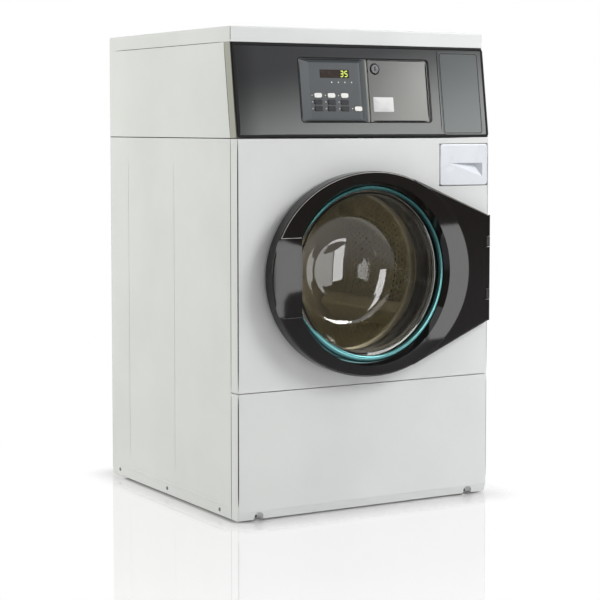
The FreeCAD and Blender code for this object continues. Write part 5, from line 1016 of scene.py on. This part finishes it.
def trim_ring():
    """The ring: a rounded wedge section, deepest at its outer edge, carried from one side of the grip
    round to the other, drawn to a point at both ends and broadest at the lower left."""
    a = np.linspace(RING_GAP - np.pi, np.pi - RING_GAP, 181)[:, None]
    (inner, outer), (front, back) = RING_RADII, RING_Y
    corners = [(inner, back), (inner, front + RING_BEVEL[1]), (inner + RING_BEVEL[0], front)]
    section = softened([*corners, (outer, front), (outer, back)])[None]
    from_end = np.minimum(a - a[0], a[-1] - a)
    swell = RING_SWELL * np.exp(-(((a - RING_SWELL_AT) / RING_SWELL_WIDTH) ** 2))
    broad = np.clip(RING_TIP + from_end / RING_TAPER, 0, 1) * (1 + swell)
    grid = around_axis(outer - (outer - section[..., 0]) * broad, section[..., 1], a)
    first, last = (grid[i].mean(axis=0) + 0 * grid[i] for i in (0, -1))
    return np.concatenate([first[None], grid, last[None]]), False, True


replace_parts(piece_of("door_ring", [trim_ring()], ring_teal, "door"), "door_trim_ring")

# Studio. A pale polished floor that fades to white, large soft lamps from the right, the left and above,
# and, kept out of the picture itself, a dark wall round the front and four bright cards before it, which
# the door and the console mirror.
FLOOR_HALF = 12.0
FOOTPRINT = (0.31, 0.325, 0)
FADE = (0.0, 0.12)
POLISH_FADE = (0.5, 1.5)
POLISH_ROUGH, POLISH_IOR = 0.025, 1.75
WALL_RADIUS, WALL_HALF = 7.0, 5.0
WALL_SWEEP = (-185, 5)
WALL_FADE = (-0.9, 0.3)
CARD_Y = -2.9
CARDS = {
    "studio_card_window": (8.0, [((1.62, -0.05), (1.62, 0.42)), ((1.86, 0.02), (1.86, 0.44))]),
    "studio_card_right": (
        3.5, [((1.88, 0.02), (1.88, 0.48)), ((2.05, 0.03), (2.05, 0.49)), ((2.62, 0.05), (2.62, 0.36))]
    ),
    "studio_card_grip": (
        3.5,
        [
            ((1.162, 0.185), (1.162, 0.428)), ((1.177, 0.147), (1.177, 0.444)),
            ((1.2065, 0.147), (1.2065, 0.447)), ((1.208, 0.209), (1.208, 0.447)),
            ((1.2286, 0.24), (1.2286, 0.438)), ((1.295, 0.249), (1.295, 0.42)),
        ],
    ),
    "studio_card_front": (9.0, [((0.15, 0.35), (0.15, 1.45)), ((0.80, 0.35), (0.80, 1.45))]),
}
SKY_LEVEL = 0.42


def stage_sheet(name, x, y, z):
    """A plain sheet of the studio, through a grid of points."""
    grid = np.stack(np.broadcast_arrays(x, y, z), axis=-1).astype(float)
    mesh = bpy.data.meshes.new(name)
    mesh.from_pydata(grid.reshape(-1, 3).tolist(), [], quads(grid, False, False).tolist())
    thing = bpy.data.objects.new(name, mesh)
    bpy.context.scene.collection.objects.link(thing)
    return thing


def greater(tree, one, other):
    """The greater of two values."""
    return node(tree, "Math", one, other, operation="MAXIMUM")["Value"]


def times(tree, one, other):
    """The product of two values."""
    return node(tree, "Math", one, other, operation="MULTIPLY")["Value"]


floor_edge = np.array([-FLOOR_HALF, FLOOR_HALF])
floor = stage_sheet("studio_floor", floor_edge[:, None], floor_edge[None, :], 0.0)
floor_paint, tree, shader = blank("studio_floor")
fill(shader, Base_Color=shade(222, 222, 222), Specular_IOR_Level=0.0)
outside = object_place(tree)
for operation, value in (("ABSOLUTE", (0, 0, 0)), ("SUBTRACT", FOOTPRINT), ("MAXIMUM", (0, 0, 0))):
    outside = node(tree, "VectorMath", outside, value, operation=operation)["Vector"]
distance = node(tree, "VectorMath", outside, operation="LENGTH")["Value"]
fade = node(tree, "MapRange", distance, *FADE, interpolation_type="SMOOTHSTEP")["Result"]
path = node(tree, "LightPath")
seen = greater(tree, path["Is Camera Ray"], path["Is Transmission Ray"])
glow = node(tree, "Emission")["Emission"]
faded = node(tree, "MixShader", times(tree, seen, fade), shader.outputs["BSDF"], glow)["Shader"]
gloss = node(tree, "BsdfGlossy", Color=(1, 1, 1, 1), Roughness=POLISH_ROUGH)["BSDF"]
polish = node(tree, "Fresnel", IOR=POLISH_IOR)["Fac"]
near = node(tree, "MapRange", distance, *POLISH_FADE, 1.0, 0.0)["Result"]
emit(tree, node(tree, "MixShader", times(tree, polish, near), faded, gloss)["Shader"])
floor.data.materials.append(floor_paint)
floor.visible_glossy = False
floor.visible_transmission = False


def only_mirrored(thing):
    """Keeps a sheet from the camera, from diffuse light and from shadows, so that it is seen only in or
    through other surfaces."""
    thing.visible_camera = False
    thing.visible_diffuse = False
    thing.visible_shadow = False


sweep = np.radians(np.linspace(*WALL_SWEEP, 41))[:, None]
wall_x, wall_y = WALL_RADIUS * np.cos(sweep), WALL_RADIUS * np.sin(sweep)
dark_wall = stage_sheet("studio_dark_wall", wall_x, wall_y, np.array([[-WALL_HALF, WALL_HALF]]))
wall_paint, tree, _ = blank("studio_dark_wall")
rise = node(tree, "MapRange", node(tree, "SeparateXYZ", object_place(tree))["Z"], *WALL_FADE)["Result"]
wall_colour = ramp(tree, rise, ((186, 184, 192), (118, 112, 102)), start=0.0, end=1.0)
emit(tree, node(tree, "Emission", wall_colour)["Emission"])
dark_wall.data.materials.append(wall_paint)
only_mirrored(dark_wall)
for name, (level, corners) in CARDS.items():
    card_x, card_z = np.moveaxis(np.array(corners), -1, 0)
    card_sheet = stage_sheet(name, card_x, CARD_Y, card_z)
    card_glow, tree, _ = blank(name)
    emit(tree, node(tree, "Emission", Strength=level)["Emission"])
    card_sheet.data.materials.append(card_glow)
    only_mirrored(card_sheet)
    card_sheet.visible_transmission = False


def softbox(name, place, aim, size, power, colour=(1, 1, 1)):
    """A large square soft lamp of a size, at a place and turned to face its aim."""
    lamp = bpy.data.lights.new(name, "AREA")
    lamp.shape = "RECTANGLE"
    lamp.size = lamp.size_y = size
    lamp.energy = power
    lamp.color = colour
    box = bpy.data.objects.new(name, lamp)
    box.location = place
    box.rotation_euler = (Vector(aim) - Vector(place)).to_track_quat("-Z", "Y").to_euler()
    bpy.context.scene.collection.objects.link(box)


softbox("key_softbox", (2.0, -2.2, 2.3), aim=(0.1, -0.2, 0.6), size=1.3, power=67)
softbox("left_softbox", (-3.0, 1.8, 1.6), aim=(-0.1, 0.1, 0.55), size=2.2, power=54, colour=(1, 1, 0.91))
softbox("top_softbox", (0.2, -0.3, 3.4), aim=(0, 0, 0.5), size=2.6, power=22)
world = bpy.data.worlds.new("studio")
bpy.context.scene.world = world
world.use_nodes = True
tree = world.node_tree
path = node(tree, "LightPath")
seen = greater(tree, path["Is Camera Ray"], path["Is Glossy Ray"])
seen = greater(tree, seen, path["Is Transmission Ray"])
sky_level = node(tree, "MapRange", seen, 0.0, 1.0, SKY_LEVEL, 1.0)["Result"]
fill(tree.nodes["Background"], Color=(1, 1, 1, 1), Strength=sky_level)

# Viewpoint. The photograph's own, fitted to the cabinet's corners: a long lens to the left of the machine,
# a little below its top and tipped slightly down.
EYE_PLACE = (-2.2083, -3.7887, 0.8892)
EYE_DIP, EYE_TURN = 4.315, -30.359
eye = bpy.data.cameras.new("viewpoint")
eye.lens = 106.8
eye.sensor_width = 36
eye.shift_y = -0.0667
viewpoint = bpy.data.objects.new("viewpoint", eye)
viewpoint.location = EYE_PLACE
viewpoint.rotation_euler = (math.radians(90 - EYE_DIP), 0, math.radians(EYE_TURN))
bpy.context.scene.collection.objects.link(viewpoint)
bpy.context.scene.camera = viewpoint
bpy.context.scene.view_settings.view_transform = "Standard"
